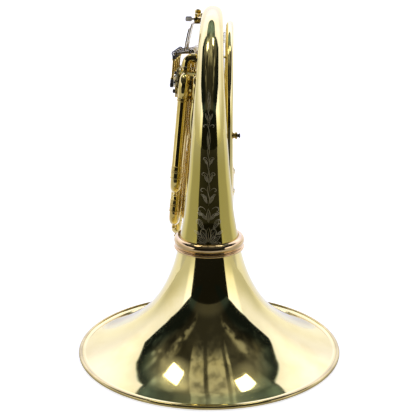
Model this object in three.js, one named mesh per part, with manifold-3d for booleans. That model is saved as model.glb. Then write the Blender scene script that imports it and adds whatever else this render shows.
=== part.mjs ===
// A double french horn standing on its bell: screw-on bell, coiled bell branch, leadpipe,
// a row of four two-level rotary valves, eight pull slides, levers and ball linkages.
//
// Units are millimetres. +Z is up, the horn rests on the bell's rim, the bell's throat is
// on the -Y side and the mouthpiece end points along +Y. The valve section is on the -X side.
import * as THREE from "three";
import { mergeVertices } from "three/addons/utils/BufferGeometryUtils.js";
import Module from "manifold-3d";

const wasm = await Module();
wasm.setup();
const { Vector2, Vector3 } = THREE;
const rad = THREE.MathUtils.degToRad;

// Clearances shared by every seat
const seatGap = 0.3; // between pieces that rest on each other
const cutOverrun = 1; // how far a cutting tool runs past what it cuts

// Bell and coil
const rimRadius = 155.5;
const flareHeight = 139;
const throatRadius = 34.6;
const bellSheet = 0.8;
const beadRadius = 2.6;
const coilRadius = 132; // centreline of the bell tail's circle
const coilLift = 106; // from the flare's end up to the circle's centre
const coilHeight = flareHeight + coilLift;
const bellSides = 36;

// Tubing of the valve section
const tubeRadius = 6.3;
const tubeWall = 0.55;
const slideRadius = tubeRadius - tubeWall - seatGap; // the leg that runs in a tube
const ferruleRadius = 7.2;
const ferruleLength = 8;
const tubeSides = 10;
const legSpread = 13.1; // half the distance between a slide's two legs
const bowSteps = 7;

// Valve row: its pieces are placed in its own frame, which leans down towards the far side
// and rolls so that the slides' ends stand away from the coil
const rowForwardShare = 0.47; // from the bell's axis, as a share of the coil's radius
const rowUpShare = 0.477; // from the coil's centre, as a share of the coil's radius
const rowStartY = rowForwardShare * coilRadius;
const rowStartZ = coilHeight + rowUpShare * coilRadius;
const rowLean = 8; // degrees
const rowRoll = 5; // degrees
const valvePitch = 42;
const casingRadius = 16.5;
const casingBore = 14.2;
const casingFrontX = -38;
const casingBackX = -7.5;
const fLevelX = -30.5;
const bFlatLevelX = -15.5;
const bossEnd = 20; // how far below a valve's axis its slide bosses end

// Materials
const finish = (color, roughness, metalness = 1) =>
  new THREE.MeshStandardMaterial({ color, roughness, metalness });
const brass = finish(0xd8b24a, 0.16);
const roseBrass = finish(0xc98a5e, 0.18);
const nickel = finish(0xcfcabb, 0.2);
const steel = finish(0x9a9a98, 0.3);
const rubber = finish(0x14120f, 0.7, 0);

const samePlace = 1e-4; // points nearer to each other than this are one point

// Solids: a closed geometry becomes a manifold solid, and back
function solidOf(geometry) {
  const bare = geometry.clone();
  for (const name of Object.keys(bare.attributes)) {
    if (name !== "position") bare.deleteAttribute(name);
  }
  const merged = mergeVertices(bare, samePlace);
  const mesh = new wasm.Mesh({
    numProp: 3,
    vertProperties: merged.attributes.position.array,
    triVerts: new Uint32Array(merged.index.array),
  });
  return new wasm.Manifold(mesh);
}

function geometryOf(solid) {
  const mesh = solid.getMesh();
  const count = mesh.vertProperties.length / mesh.numProp;
  const places = new Float32Array(count * 3);
  for (let i = 0; i < count; i++) {
    const from = i * mesh.numProp;
    places.set(mesh.vertProperties.subarray(from, from + 3), i * 3);
  }
  const geometry = new THREE.BufferGeometry();
  geometry.setAttribute("position", new THREE.BufferAttribute(places, 3));
  geometry.setIndex(new THREE.BufferAttribute(new Uint32Array(mesh.triVerts), 1));
  geometry.computeVertexNormals();
  return geometry;
}

const join = (...parts) =>
  geometryOf(parts.map(solidOf).reduce((whole, part) => whole.add(part)));

const cut = (body, ...tools) =>
  geometryOf(tools.map(solidOf).reduce((rest, tool) => rest.subtract(tool), solidOf(body)));

// A round pipe through points, with one radius or a radius for each point, and an optional bore.
// Two points at one place with different radii make a square step.
function pipe(points, radii, sides = tubeSides, bores = null) {
  const last = points.length - 1;
  const radiusAt = (list, i) => (Array.isArray(list) ? list[i] : list);
  const headings = points.map((point, i) => {
    let before = i;
    while (before > 0 && points[before].distanceTo(point) < samePlace) before--;
    let after = i;
    while (after < last && points[after].distanceTo(point) < samePlace) after++;
    const heading = new Vector3();
    if (before !== i) heading.add(point.clone().sub(points[before]).normalize());
    if (after !== i) heading.add(points[after].clone().sub(point).normalize());
    return heading.normalize();
  });
  const places = [];
  const side = new Vector3(1, 0, 0);
  if (Math.abs(headings[0].x) > 0.8) side.set(0, 1, 0);
  const ring = (i, list) => {
    const radius = radiusAt(list, i);
    const across = new Vector3().crossVectors(headings[i], side);
    for (let k = 0; k < sides; k++) {
      const turn = (2 * Math.PI * (k + 0.5)) / sides;
      places.push(
        points[i]
          .clone()
          .addScaledVector(side, radius * Math.cos(turn))
          .addScaledVector(across, radius * Math.sin(turn)),
      );
    }
  };
  for (let i = 0; i <= last; i++) {
    side.addScaledVector(headings[i], -side.dot(headings[i])).normalize();
    ring(i, radii);
    if (bores) ring(i, bores);
  }
  const stride = bores ? 2 * sides : sides;
  const outer = (i, k) => i * stride + (k % sides);
  const inner = (i, k) => outer(i, k) + sides;
  const faces = [];
  const quad = (a, b, c, d) => faces.push(a, b, c, a, c, d);
  for (let k = 0; k < sides; k++) {
    for (let i = 0; i < last; i++) {
      quad(outer(i, k), outer(i, k + 1), outer(i + 1, k + 1), outer(i + 1, k));
      if (bores) quad(inner(i, k + 1), inner(i, k), inner(i + 1, k), inner(i + 1, k + 1));
    }
    if (bores) {
      quad(outer(0, k), inner(0, k), inner(0, k + 1), outer(0, k + 1));
      quad(outer(last, k + 1), inner(last, k + 1), inner(last, k), outer(last, k));
    }
  }
  if (!bores) {
    for (let k = 1; k < sides - 1; k++) {
      faces.push(outer(0, 0), outer(0, k + 1), outer(0, k));
      faces.push(outer(last, 0), outer(last, k), outer(last, k + 1));
    }
  }
  const geometry = new THREE.BufferGeometry().setFromPoints(places);
  geometry.setIndex(faces);
  geometry.computeVertexNormals();
  return geometry;
}

const rod = (from, to, radius, sides = 8) => pipe([from, to], radius, sides);

// A block between two corners
function block(low, high) {
  const size = high.clone().sub(low);
  const geometry = new THREE.BoxGeometry(size.x, size.y, size.z);
  const middle = low.clone().add(high).multiplyScalar(0.5);
  return geometry.translate(middle.x, middle.y, middle.z);
}

// A turned piece about +Z from [radius, height] pairs that close on themselves
function turned(outline, segments = bellSides) {
  const points = outline.map(([radius, height]) => new Vector2(radius, height));
  points.push(points[0].clone());
  return new THREE.LatheGeometry(points, segments).rotateX(Math.PI / 2);
}

// A route drawn by going straight and bending round, which gives the points of a pipe
function route(start, heading) {
  const points = [start.clone()];
  let here = start.clone();
  const ahead = heading.clone().normalize();
  const trip = {
    points,
    straight(length) {
      here = here.clone().addScaledVector(ahead, length);
      points.push(here);
      return trip;
    },
    bend(radius, degrees, axis, steps) {
      const centre = new Vector3().crossVectors(axis, ahead).multiplyScalar(radius).add(here);
      const arm = here.clone().sub(centre);
      const turn = rad(degrees) / steps;
      for (let i = 0; i < steps; i++) {
        arm.applyAxisAngle(axis, turn);
        points.push(centre.clone().add(arm));
      }
      here = points[points.length - 1];
      ahead.applyAxisAngle(axis, rad(degrees));
      return trip;
    },
    heading: ahead,
  };
  return trip;
}

// Reads a table of [share along, share of size] pairs
function shareAt(table, along) {
  const next = table.findIndex(([place]) => place >= along);
  if (next <= 0) return table[Math.max(next, 0)][1];
  const [[place0, size0], [place1, size1]] = [table[next - 1], table[next]];
  return size0 + ((size1 - size0) * (along - place0)) / (place1 - place0);
}

const axisX = new Vector3(1, 0, 0);
const axisY = new Vector3(0, 1, 0);
const axisZ = new Vector3(0, 0, 1);

// The scene graph: the horn holds the fixed pieces, and each moving piece has a pivot group
// whose userData.axis is the line that it turns about or slides along, in the group's own frame
const horn = new THREE.Group();
const valveRow = new THREE.Group();
valveRow.position.set(0, rowStartY, rowStartZ);
valveRow.rotation.set(-rad(rowLean), rad(rowRoll), 0);
horn.add(valveRow);
horn.updateMatrixWorld(true);

function piece(name, geometry, material, parent = horn) {
  const mesh = new THREE.Mesh(geometry, material);
  mesh.name = name;
  parent.add(mesh);
  return mesh;
}

function pivot(name, place, axis, parent = horn) {
  const group = new THREE.Group();
  group.name = name;
  group.position.copy(place);
  group.userData.axis = axis.toArray();
  parent.add(group);
  return group;
}

// A point of the valve row's frame, in the horn's frame
const fromRow = (x, y, z) => new Vector3(x, y, z).applyMatrix4(valveRow.matrixWorld);

// A point of the coil's circle: 0 degrees is the side above the bell, 90 is the top
const onCoil = (degrees, radius = coilRadius, x = 0) =>
  new Vector3(
    x,
    coilRadius - radius * Math.cos(rad(degrees)),
    coilHeight + radius * Math.sin(rad(degrees)),
  );

// Bell flare, with its rim rolled round a wire
const flareShares = [
  [0.022, 0.938],
  [0.072, 0.806],
  [0.144, 0.653],
  [0.252, 0.471],
  [0.396, 0.297],
  [0.576, 0.16],
  [0.755, 0.072],
  [0.942, 0.013],
  [1, 0],
]; // share of the flare's height, share of the way from the throat to the rim
const wireGap = 0.7;
const beadOuterDegrees = [150, 80, 10, -50, -75, -105];
const beadInnerDegrees = [-105, -40, 40, 120];

const flareRadius = (outShare) => throatRadius + outShare * (rimRadius - throatRadius);

function bellFlare() {
  const outer = flareShares.map(([up, out]) => [flareRadius(out), up * flareHeight]);
  const inner = outer.map(([radius, height], i) => {
    const [nextRadius, nextHeight] = outer[Math.min(i + 1, outer.length - 1)];
    const [lastRadius, lastHeight] = outer[Math.max(i - 1, 0)];
    const slope = Math.atan2(nextHeight - lastHeight, lastRadius - nextRadius);
    const squareEnd = i === outer.length - 1;
    return [
      radius - bellSheet * (squareEnd ? 1 : Math.sin(slope)),
      height - bellSheet * (squareEnd ? 0 : Math.cos(slope)),
    ];
  });
  const onBead = (radius) => (degrees) => [
    rimRadius - beadRadius + radius * Math.cos(rad(degrees)),
    beadRadius + radius * Math.sin(rad(degrees)),
  ];
  const bead = beadOuterDegrees.map(onBead(beadRadius));
  const core = beadInnerDegrees.map(onBead(beadRadius - bellSheet));
  return turned([...bead, ...core, ...inner, ...outer.reverse()].reverse());
}

const wireRadius = beadRadius - bellSheet - wireGap;
const wireSides = 4;

const bellPivot = pivot("bell_screw", new Vector3(0, 0, 0), axisZ);
piece("bell_flare", bellFlare(), brass, bellPivot);
piece(
  "bell_rim_wire",
  new THREE.TorusGeometry(rimRadius - beadRadius, wireRadius, wireSides, bellSides).translate(
    0,
    0,
    beadRadius,
  ),
  steel,
  bellPivot,
);

// Screw rings: the lower one is fixed on the flare, and its threaded sleeve stands up inside the
// upper one, a fat rounded ring that is fixed on the coil's tail
const ringRadius = 41.1;
const ringDepth = 8.5; // how far below the flare's end the lower ring starts
const ringRound = 5.7; // radius of the upper ring's section
const ringBevel = 1.2;
const ringLip = 3.2; // height of the lower ring's bead
const threadRadius = 38.5;
const ringBottom = flareHeight - ringDepth;
const ringSeam = ringBottom + ringLip; // top of the lower ring's bead
const ringSplit = flareHeight + seatGap; // where the tail's socket ends, over the flare's end
const ringMiddle = ringSeam + seatGap + ringRound;
const ringBoreAt = (height) =>
  flareRadius(shareAt(flareShares, height / flareHeight)) + seatGap;

piece(
  "bell_ring_lower",
  turned([
    [ringBoreAt(ringBottom), ringBottom],
    [ringRadius - ringBevel, ringBottom],
    [ringRadius, ringBottom + ringBevel],
    [ringRadius, ringSeam - ringBevel],
    [ringRadius - ringBevel, ringSeam],
    [threadRadius - seatGap, ringSeam],
    [threadRadius - seatGap, flareHeight],
    [ringBoreAt(ringSeam), flareHeight],
    [ringBoreAt(ringSeam), ringSeam],
  ]),
  roseBrass,
  bellPivot,
);

// Bell tail: the tapering tube from the screw ring, up and over the top, and down the far side
const tailShares = [
  [0, 1],
  [0.03, 0.905],
  [0.061, 0.822],
  [0.103, 0.755],
  [0.144, 0.681],
  [0.182, 0.638],
  [0.243, 0.564],
  [0.302, 0.504],
  [0.362, 0.46],
  [0.421, 0.43],
  [0.541, 0.386],
  [0.78, 0.32],
  [1, 0.273],
]; // share of the tail's length, share of its radius at the ring
const tailEndDegrees = 205;
const tailSides = 16;
const tailRiseSteps = 5;
const tailArcSteps = 14;
const tailSpigotDegrees = 5; // the tail's last straight end, which the branch's socket takes
const tailStart = ringSplit + seatGap;
const tailRise = coilHeight - tailStart;
const tailLength = tailRise + coilRadius * rad(tailEndDegrees);
const tailRadius = (along) => throatRadius * shareAt(tailShares, along / tailLength);

function tailLine() {
  const points = [];
  const radii = [];
  for (let i = 0; i < tailRiseSteps; i++) {
    const along = (tailRise * i) / tailRiseSteps;
    points.push(new Vector3(0, 0, tailStart + along));
    radii.push(tailRadius(along));
  }
  const turns = Array.from({ length: tailArcSteps + 1 }, (_, i) => i / tailArcSteps);
  turns.splice(tailArcSteps, 0, 1 - tailSpigotDegrees / tailEndDegrees);
  for (const share of turns) {
    const degrees = tailEndDegrees * share;
    points.push(onCoil(degrees));
    radii.push(tailRadius(tailRise + coilRadius * rad(degrees)));
  }
  return { points, radii };
}

// A tube's line grown by the seat gap, which cuts what is fixed to that tube
const skin = ({ points, radii }, sides) =>
  pipe(
    points,
    radii.map((radius) => radius + seatGap),
    sides,
  );

function bellTail() {
  const { points, radii } = tailLine();
  const bores = radii.map((radius) => radius - bellSheet);
  return pipe(points, radii, tailSides, bores);
}
piece("bell_tail", bellTail(), brass);

// The upper ring's bore follows the tail's taper
const ringBore = throatRadius + seatGap;
const ringArcDegrees = [-55, -30, -5, 20, 45, 70, 95];
const ringArc = ringArcDegrees.map((degrees) => [
  ringRadius - ringRound + ringRound * Math.cos(rad(degrees)),
  ringMiddle + ringRound * Math.sin(rad(degrees)),
]);
const [, ringTop] = ringArc[ringArc.length - 1];
piece(
  "bell_ring_upper",
  turned([
    [threadRadius, ringSeam + seatGap],
    ...ringArc,
    [tailRadius(ringTop - tailStart) + 2 * seatGap, ringTop - seatGap],
    [ringBore, tailStart],
    [ringBore, ringSplit],
    [threadRadius, ringSplit],
  ]),
  roseBrass,
);

// Bell branch: from a socket on the tail's end, round the bottom and up to the change valve
const branchSocketDegrees = 4;
const branchStart = tailEndDegrees + THREE.MathUtils.radToDeg(seatGap / coilRadius);
const branchShares = [
  // share of the circle's radius, degrees round the coil, share of the way across to the valve
  [1, 225, 0],
  [1, 248, 0],
  [0.985, 270, 0.02],
  [0.935, 295, 0.12],
  [0.845, 318, 0.36],
  [0.76, 338, 0.68],
];
const branchSteps = 20;
const branchSides = 12;
const branchNarrowing = 1.3;
const socketWall = 0.9;
const socketSides = 14;
const portLead = 26; // how far a tube runs straight before it meets a valve's boss

function branchLine() {
  const startRadius = tailRadius(tailLength);
  const portEnd = fromRow(bFlatLevelX, -legSpread, -bossEnd - seatGap);
  const leadIn = fromRow(bFlatLevelX, -legSpread, -bossEnd - portLead);
  const through = [onCoil(branchStart)];
  for (const [radiusShare, degrees, across] of branchShares) {
    through.push(onCoil(degrees, radiusShare * coilRadius, across * bFlatLevelX));
  }
  through.push(leadIn, portEnd);
  const line = new THREE.CatmullRomCurve3(through, false, "centripetal");
  const points = line.getSpacedPoints(branchSteps);
  const radii = points.map((point, i) => {
    const share = Math.min(1, (branchNarrowing * i) / branchSteps);
    return startRadius + (tubeRadius - startRadius) * share;
  });
  return { points, radii };
}

function bellBranch() {
  const { points, radii } = branchLine();
  const onSocket = (degrees) => onCoil(tailEndDegrees + degrees);
  const socketBore = radii[0] + seatGap + socketWall / 2;
  const socket = pipe(
    [onSocket(-branchSocketDegrees), onSocket(0), onSocket(branchSocketDegrees)],
    socketBore + socketWall,
    socketSides,
  );
  const mouth = [-branchSocketDegrees - cutOverrun, -branchSocketDegrees / 2].map(onSocket);
  const socketTool = pipe([...mouth, onCoil(branchStart)], socketBore, socketSides);
  return cut(join(pipe(points, radii, branchSides), socket), socketTool);
}
piece("bell_branch", bellBranch(), brass);

// Leadpipe: from the mouthpiece end over the top, down behind the bell's throat and round
// to the main tuning slide
const leadX = 21;
const leadInset = 22; // how much smaller its circle is than the coil's
const leadSetBack = 5; // how far its circle's centre is past the coil's
const leadSetUp = 11; // how far its circle's centre is above the coil's
const leadCircleRadius = coilRadius - leadInset;
const leadCircleY = coilRadius + leadSetBack;
const leadCircleZ = coilHeight + leadSetUp;
const leadFarDegrees = 107;
const leadReceiverX = 16;
const leadStraight = 104;
const leadBendRadius = 50;
const mainLift = 37; // the main tuning slide's lower leg above the coil's lowest point
const mainLowZ = coilHeight - coilRadius + mainLift;
const leadDrop = leadCircleZ - leadBendRadius - mainLowZ;
const leadRun = 15;
const leadStartRadius = 4.2;
const leadSides = 10;
const leadArcSteps = 13;
const leadBendSteps = 5;
const receiverLength = 24;
const receiverRadius = 6.6;
const receiverCollar = 7.6;
const receiverBore = 4.5;
const receiverSides = 14;
const receiverStepShare = 0.3;

const onLead = (degrees) =>
  new Vector3(
    leadX,
    leadCircleY - leadCircleRadius * Math.cos(rad(degrees)),
    leadCircleZ + leadCircleRadius * Math.sin(rad(degrees)),
  );

const leadTurn = onLead(leadFarDegrees);
const leadOut = new Vector3(
  0,
  leadStraight * Math.sin(rad(leadFarDegrees)),
  leadStraight * Math.cos(rad(leadFarDegrees)),
).add(new Vector3(leadReceiverX - leadX, 0, 0));
const leadEnd = leadTurn.clone().add(leadOut);
const leadHeading = leadOut.clone().normalize();
const leadCorner = onLead(0);
const mainStartY = leadCorner.y + leadBendRadius + leadRun;

function leadLine() {
  const points = [leadEnd];
  for (let i = 0; i <= leadArcSteps; i++) {
    points.push(onLead(leadFarDegrees * (1 - i / leadArcSteps)));
  }
  const foot = route(leadCorner, new Vector3(0, 0, -1))
    .straight(leadDrop)
    .bend(leadBendRadius, 90, axisX, leadBendSteps)
    .straight(leadRun);
  points.push(...foot.points.slice(1));
  const last = points.length - 1;
  const radii = points.map((_, i) => leadStartRadius + ((tubeRadius - leadStartRadius) * i) / last);
  return { points, radii };
}
const leadTubing = leadLine();
piece("leadpipe", pipe(leadTubing.points, leadTubing.radii, leadSides), brass);

function receiver() {
  const along = (share) => leadEnd.clone().addScaledVector(leadHeading, share * receiverLength);
  const inner = leadEnd.clone().addScaledVector(leadHeading, seatGap);
  const step = along(receiverStepShare);
  const shell = pipe(
    [inner, step, step, along(1)],
    [leadStartRadius, receiverRadius, receiverCollar, receiverCollar],
    receiverSides,
  );
  const bore = rod(step, along(1).addScaledVector(leadHeading, cutOverrun), receiverBore, receiverSides);
  return cut(shell, bore);
}
piece("mouthpiece_receiver", receiver(), nickel);

// Main tuning slide, beside the coil: it draws out along +Y
const mainLength = 58;
const sleeveBraceShare = 0.62;
const braceRadius = 1.8;

function tubeAt(start, heading, length) {
  const end = start.clone().addScaledVector(heading, length);
  return pipe([start, end], tubeRadius, tubeSides, tubeRadius - tubeWall);
}

// Two outer legs side by side with a brace between them
function sleeves(middle, spread, heading, length) {
  const across = spread.clone().normalize();
  const near = middle.clone().sub(spread);
  const far = middle.clone().add(spread);
  const inward = tubeRadius - tubeWall / 2;
  const braceAt = (end, way) =>
    end
      .clone()
      .addScaledVector(heading, length * sleeveBraceShare)
      .addScaledVector(across, way * inward);
  return join(
    tubeAt(near, heading, length),
    tubeAt(far, heading, length),
    rod(braceAt(near, 1), braceAt(far, -1), braceRadius, 6),
  );
}

// The part that draws out: two legs, their ferrules and the bow, with a pull knob
const legShare = 0.7; // share of the sleeves' length that the legs fill
const knobRadius = 3;
const knobNeck = 1.6;
const knobLength = 6;
const knobSides = 6;
const knobShares = [
  // share of the knob's length, and its radius there
  [0, knobNeck],
  [0.5, knobNeck],
  [0.7, knobRadius],
  [0.9, knobRadius],
  [1, knobNeck],
];

function slide(middle, spread, heading, length) {
  const bend = new Vector3().crossVectors(heading, spread).normalize();
  const firstEnd = middle.clone().sub(spread).addScaledVector(heading, length + seatGap);
  const lastEnd = middle.clone().add(spread).addScaledVector(heading, length + seatGap);
  const legStart = (end) => end.clone().addScaledVector(heading, -length * legShare);
  const bow = route(firstEnd.clone().addScaledVector(heading, ferruleLength), heading).bend(
    legSpread,
    180,
    bend,
    bowSteps,
  ).points;
  const stepped = [
    [legStart(firstEnd), slideRadius],
    [firstEnd, slideRadius],
    [firstEnd, ferruleRadius],
    [bow[0], ferruleRadius],
    ...bow.map((point) => [point, tubeRadius]),
    [bow[bowSteps], ferruleRadius],
    [lastEnd, ferruleRadius],
    [lastEnd, slideRadius],
    [legStart(lastEnd), slideRadius],
  ];
  const knobStart = middle
    .clone()
    .addScaledVector(heading, length + ferruleLength + legSpread + tubeRadius - cutOverrun);
  const knobAt = (share) => knobStart.clone().addScaledVector(heading, share * knobLength);
  const knob = pipe(
    knobShares.map(([share]) => knobAt(share)),
    knobShares.map(([, radius]) => radius),
    knobSides,
  );
  return join(
    pipe(
      stepped.map(([point]) => point),
      stepped.map(([, radius]) => radius),
    ),
    knob,
  );
}

const mainMiddle = new Vector3(leadX, mainStartY + seatGap, mainLowZ + legSpread);
const mainSpread = new Vector3(0, 0, legSpread);
piece("main_tuning_sleeves", sleeves(mainMiddle, mainSpread, axisY, mainLength), brass);
const mainPivot = pivot("main_tuning_pull", mainMiddle, axisY);
piece("main_tuning_slide", slide(new Vector3(), mainSpread, axisY, mainLength), brass, mainPivot);

// Lead tube: from the main tuning slide's upper leg across the coil to the change valve
const leadTubeRadius = 22;
const leadTubeBendSteps = 4;
const leadTubeRun = 3;
const leadTubeRise = 8;
const leadTubeSteps = 9;

function leadTube() {
  const start = new Vector3(leadX, mainStartY, mainLowZ + 2 * legSpread);
  const rise = route(start, new Vector3(0, -1, 0))
    .straight(leadTubeRun)
    .bend(leadTubeRadius, 90, new Vector3(-1, 0, 0), leadTubeBendSteps)
    .straight(leadTubeRise);
  const foot = rise.points[rise.points.length - 1];
  const portEnd = fromRow(bFlatLevelX, legSpread, -bossEnd - seatGap);
  const leadIn = fromRow(bFlatLevelX, legSpread, -bossEnd - portLead);
  const crossing = new THREE.CubicBezierCurve3(
    foot,
    foot.clone().addScaledVector(axisZ, portLead),
    leadIn.clone().addScaledVector(axisZ, -portLead / 2),
    leadIn,
  ).getPoints(leadTubeSteps);
  return pipe([...rise.points, ...crossing.slice(1), portEnd], tubeRadius);
}
piece("lead_tube", leadTube(), brass);

// Valves, from the near end of the row: each has an F level and a B flat level
const longestReach = 185; // of the third valve's F slide, from its bosses to its bow's end
const valves = [
  // each slide's share of the longest reach
  { name: "change", fShare: 0.595 },
  { name: "first", fShare: 0.849, bFlatShare: 0.811 },
  { name: "second", fShare: 0.405, bFlatShare: 0.281 },
  { name: "third", fShare: 1, bFlatShare: 0.892 },
];
const casingSides = 20;
const passageHeight = 5;
const passageRoot = 10;
const archRadius = 5.5;
const archBoss = 6.8;
const archBossEnd = 18.5;
const archLeg = 3.5;
const bossShares = [
  // share of the leg's distance along the row, and of the boss's end up, from the valve's axis
  [0.46, 0.2],
  [0.855, -0.2],
  [1, -0.6],
  [1, -1],
];

function casing(index) {
  const parts = [];
  const shellX = [casingFrontX, casingBackX].map((x) => new Vector3(x, 0, 0));
  for (const x of [fLevelX, bFlatLevelX]) {
    for (const way of [-1, 1]) {
      const points = bossShares.map(
        ([out, up]) => new Vector3(x, way * out * legSpread, up * bossEnd),
      );
      parts.push(pipe(points, ferruleRadius));
      const neighbour = valves[index + way];
      if (neighbour) {
        const root = new Vector3(x, way * passageRoot, passageHeight);
        const end = new Vector3(x, way * (valvePitch / 2 - seatGap / 2), passageHeight);
        parts.push(rod(root, end, tubeRadius, tubeSides));
      }
    }
    if (index === 0) {
      const root = new Vector3(x, 0, passageRoot);
      parts.push(rod(root, new Vector3(x, 0, archBossEnd), archBoss, tubeSides));
    }
  }
  const boreX = [casingFrontX - cutOverrun, casingBackX + cutOverrun];
  const bore = rod(new Vector3(boreX[0], 0, 0), new Vector3(boreX[1], 0, 0), casingBore, casingSides);
  return cut(join(rod(shellX[0], shellX[1], casingRadius, casingSides), ...parts), bore);
}

// Levers: their hinge line above the row, and the link that each one pulls
const hingeX = -26;
const hingeZ = 36;
const leverArm = 20; // from the hinge to the link's stud
const leverTurn = 20; // degrees
const linkX = hingeX - (leverArm * (1 + Math.cos(rad(leverTurn / 2)))) / 2;
const eyeThickness = 4;

// The rotor, its stem, and the stop arm with the pin that the link pulls
const rotorEndGap = 0.8;
const stemRadius = 3;
const plateThickness = 2;
const plateRadius = 17.4;
const armGap = 0.8;
const armThickness = 2.4;
const armHub = 3.9;
const armSides = 12;
const padSides = 10;
const pinRadius = 1.5;
const pinReach = 4.9; // from the rotor's axis to the pin
const pinPad = 2.8;
const stopReach = 12.5;
const stopHalfWidth = 2;
const postRadius = 2;
const postReach = 11;
const postGap = 0.5;
const restDegrees = -45;
const plateFrontX = casingFrontX - seatGap - plateThickness;
const armFrontX = plateFrontX - armGap - armThickness;

const roundX = (degrees, radius, x) =>
  new Vector3(x, radius * Math.cos(rad(degrees)), radius * Math.sin(rad(degrees)));

function rotor() {
  const body = rod(
    new Vector3(casingFrontX + rotorEndGap, 0, 0),
    new Vector3(casingBackX - rotorEndGap, 0, 0),
    casingBore - seatGap,
    casingSides,
  );
  const stemEnd = new Vector3(casingFrontX + 2 * rotorEndGap, 0, 0);
  const stem = rod(new Vector3(armFrontX, 0, 0), stemEnd, stemRadius);
  const armBackX = armFrontX + armThickness;
  const hub = rod(new Vector3(armFrontX, 0, 0), new Vector3(armBackX, 0, 0), armHub, armSides);
  const padEnds = [armFrontX, armBackX].map((x) => roundX(restDegrees, pinReach, x));
  const pad = rod(...padEnds, pinPad, padSides);
  const tail = block(
    new Vector3(armFrontX, -stopReach, -stopHalfWidth),
    new Vector3(armBackX, 0, stopHalfWidth),
  ).rotateX(rad(restDegrees));
  const pin = rod(
    roundX(restDegrees, pinReach, linkX - eyeThickness / 2 - seatGap),
    roundX(restDegrees, pinReach, armBackX - armThickness / 2),
    pinRadius,
  );
  return join(body, stem, hub, pad, tail, pin);
}

// The bearing plate that closes the casing, with the two posts that stop the arm
const stemGap = 0.35;
const postDegrees = (180 / Math.PI) * ((stopHalfWidth + postRadius + postGap) / postReach);
const rotorTurn = 90; // degrees

function bearingPlate() {
  const plate = rod(
    new Vector3(plateFrontX, 0, 0),
    new Vector3(casingFrontX - seatGap, 0, 0),
    plateRadius,
    casingSides,
  );
  const postEnds = [180 + restDegrees - postDegrees, 180 + restDegrees + rotorTurn + postDegrees];
  const posts = postEnds.map((degrees) =>
    rod(
      roundX(degrees, postReach, armFrontX - seatGap),
      roundX(degrees, postReach, plateFrontX + plateThickness / 2),
      postRadius,
    ),
  );
  const bore = rod(
    new Vector3(plateFrontX - cutOverrun, 0, 0),
    new Vector3(casingFrontX + cutOverrun, 0, 0),
    stemRadius + stemGap,
  );
  return cut(join(plate, ...posts), bore);
}

const capHeight = 5;
const capRadius = 17.6;
const capChamfer = 1.4;

function backCap() {
  const start = casingBackX + seatGap;
  const at = (out) => new Vector3(start + out, 0, 0);
  return pipe(
    [at(0), at(capHeight - capChamfer), at(capHeight)],
    [capRadius, capRadius, capRadius - capChamfer],
    casingSides,
  );
}

valves.forEach((valve, index) => {
  const y = index * valvePitch;
  const seat = new Vector3(0, y, 0);
  const fixed = (geometry) => geometry.translate(0, y, 0);
  piece(`${valve.name}_valve_casing`, fixed(casing(index)), brass, valveRow);
  piece(`${valve.name}_bearing_plate`, fixed(bearingPlate()), brass, valveRow);
  piece(`${valve.name}_valve_cap`, fixed(backCap()), brass, valveRow);
  const turn = pivot(`${valve.name}_rotor_turn`, seat, axisX, valveRow);
  piece(`${valve.name}_rotor`, rotor(), nickel, turn);
  const levels = [
    ["f", fLevelX, valve.fShare],
    ["b_flat", bFlatLevelX, valve.bFlatShare],
  ];
  for (const [level, x, share] of levels) {
    if (!share) continue;
    const name = index === 0 ? `${level}_tuning` : `${valve.name}_${level}`;
    const middle = new Vector3(x, y, -bossEnd - seatGap);
    const spread = new Vector3(0, legSpread, 0);
    const down = new Vector3(0, 0, -1);
    const length = share * longestReach - ferruleLength - legSpread - tubeRadius;
    piece(`${name}_sleeves`, sleeves(middle, spread, down, length), brass, valveRow);
    const pull = pivot(`${name}_pull`, middle, down, valveRow);
    piece(`${name}_slide`, slide(new Vector3(), spread, down, length), brass, pull);
  }
});

// Crossover arch between the change valve's two levels
const archSteps = 6;
const archSpan = (bFlatLevelX - fLevelX) / 2;
piece(
  "crossover_arch",
  pipe(
    route(new Vector3(bFlatLevelX, 0, archBossEnd + seatGap), axisZ)
      .straight(archLeg)
      .bend(archSpan, 180, new Vector3(0, -1, 0), archSteps)
      .straight(archLeg).points,
    archRadius,
  ),
  brass,
  valveRow,
);

// Levers on one hinge rod above the row, each with a link down to its valve's stop arm
const hingeRod = 1.6;
const hubRadius = 3.3;
const hubGap = 0.3;
const bladeLean = 7.5; // degrees, at rest
const bladeOffset = 9.5; // from the hinge to the blade's foot
const armOffset = 10; // along the row, from the valve's axis to the lever's arm
const armBar = 1.9;
const studRadius = 1.4;
const studLength = 9;
const bladeThickness = 1.5;
const bladeLength = 34.7; // from the hinge
const bladeHalfWidth = 9;
const atPitches = (share) => share * valvePitch;
const levers = [
  // places along the row in valve pitches: the hub's two ends and the blade's middle
  { valve: 0, hubShares: [0.18, 0.643], bladeShare: 0.381, lengthShare: 0.86 },
  { valve: 1, hubShares: [1.167, 1.667], bladeShare: 1.5, lengthShare: 1 },
  { valve: 2, hubShares: [1.845, 2.321], bladeShare: 2, lengthShare: 1 },
  { valve: 3, hubShares: [2.34, 3.333], bladeShare: 2.5, lengthShare: 1 },
];
const bladeShares = [
  // share of the blade's half width, and of its length from the hinge
  [0.333, 0],
  [0.356, 0.231],
  [0.822, 0.346],
  [1, 0.548],
  [0.956, 0.807],
  [0.667, 0.951],
  [0.267, 1],
];

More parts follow.
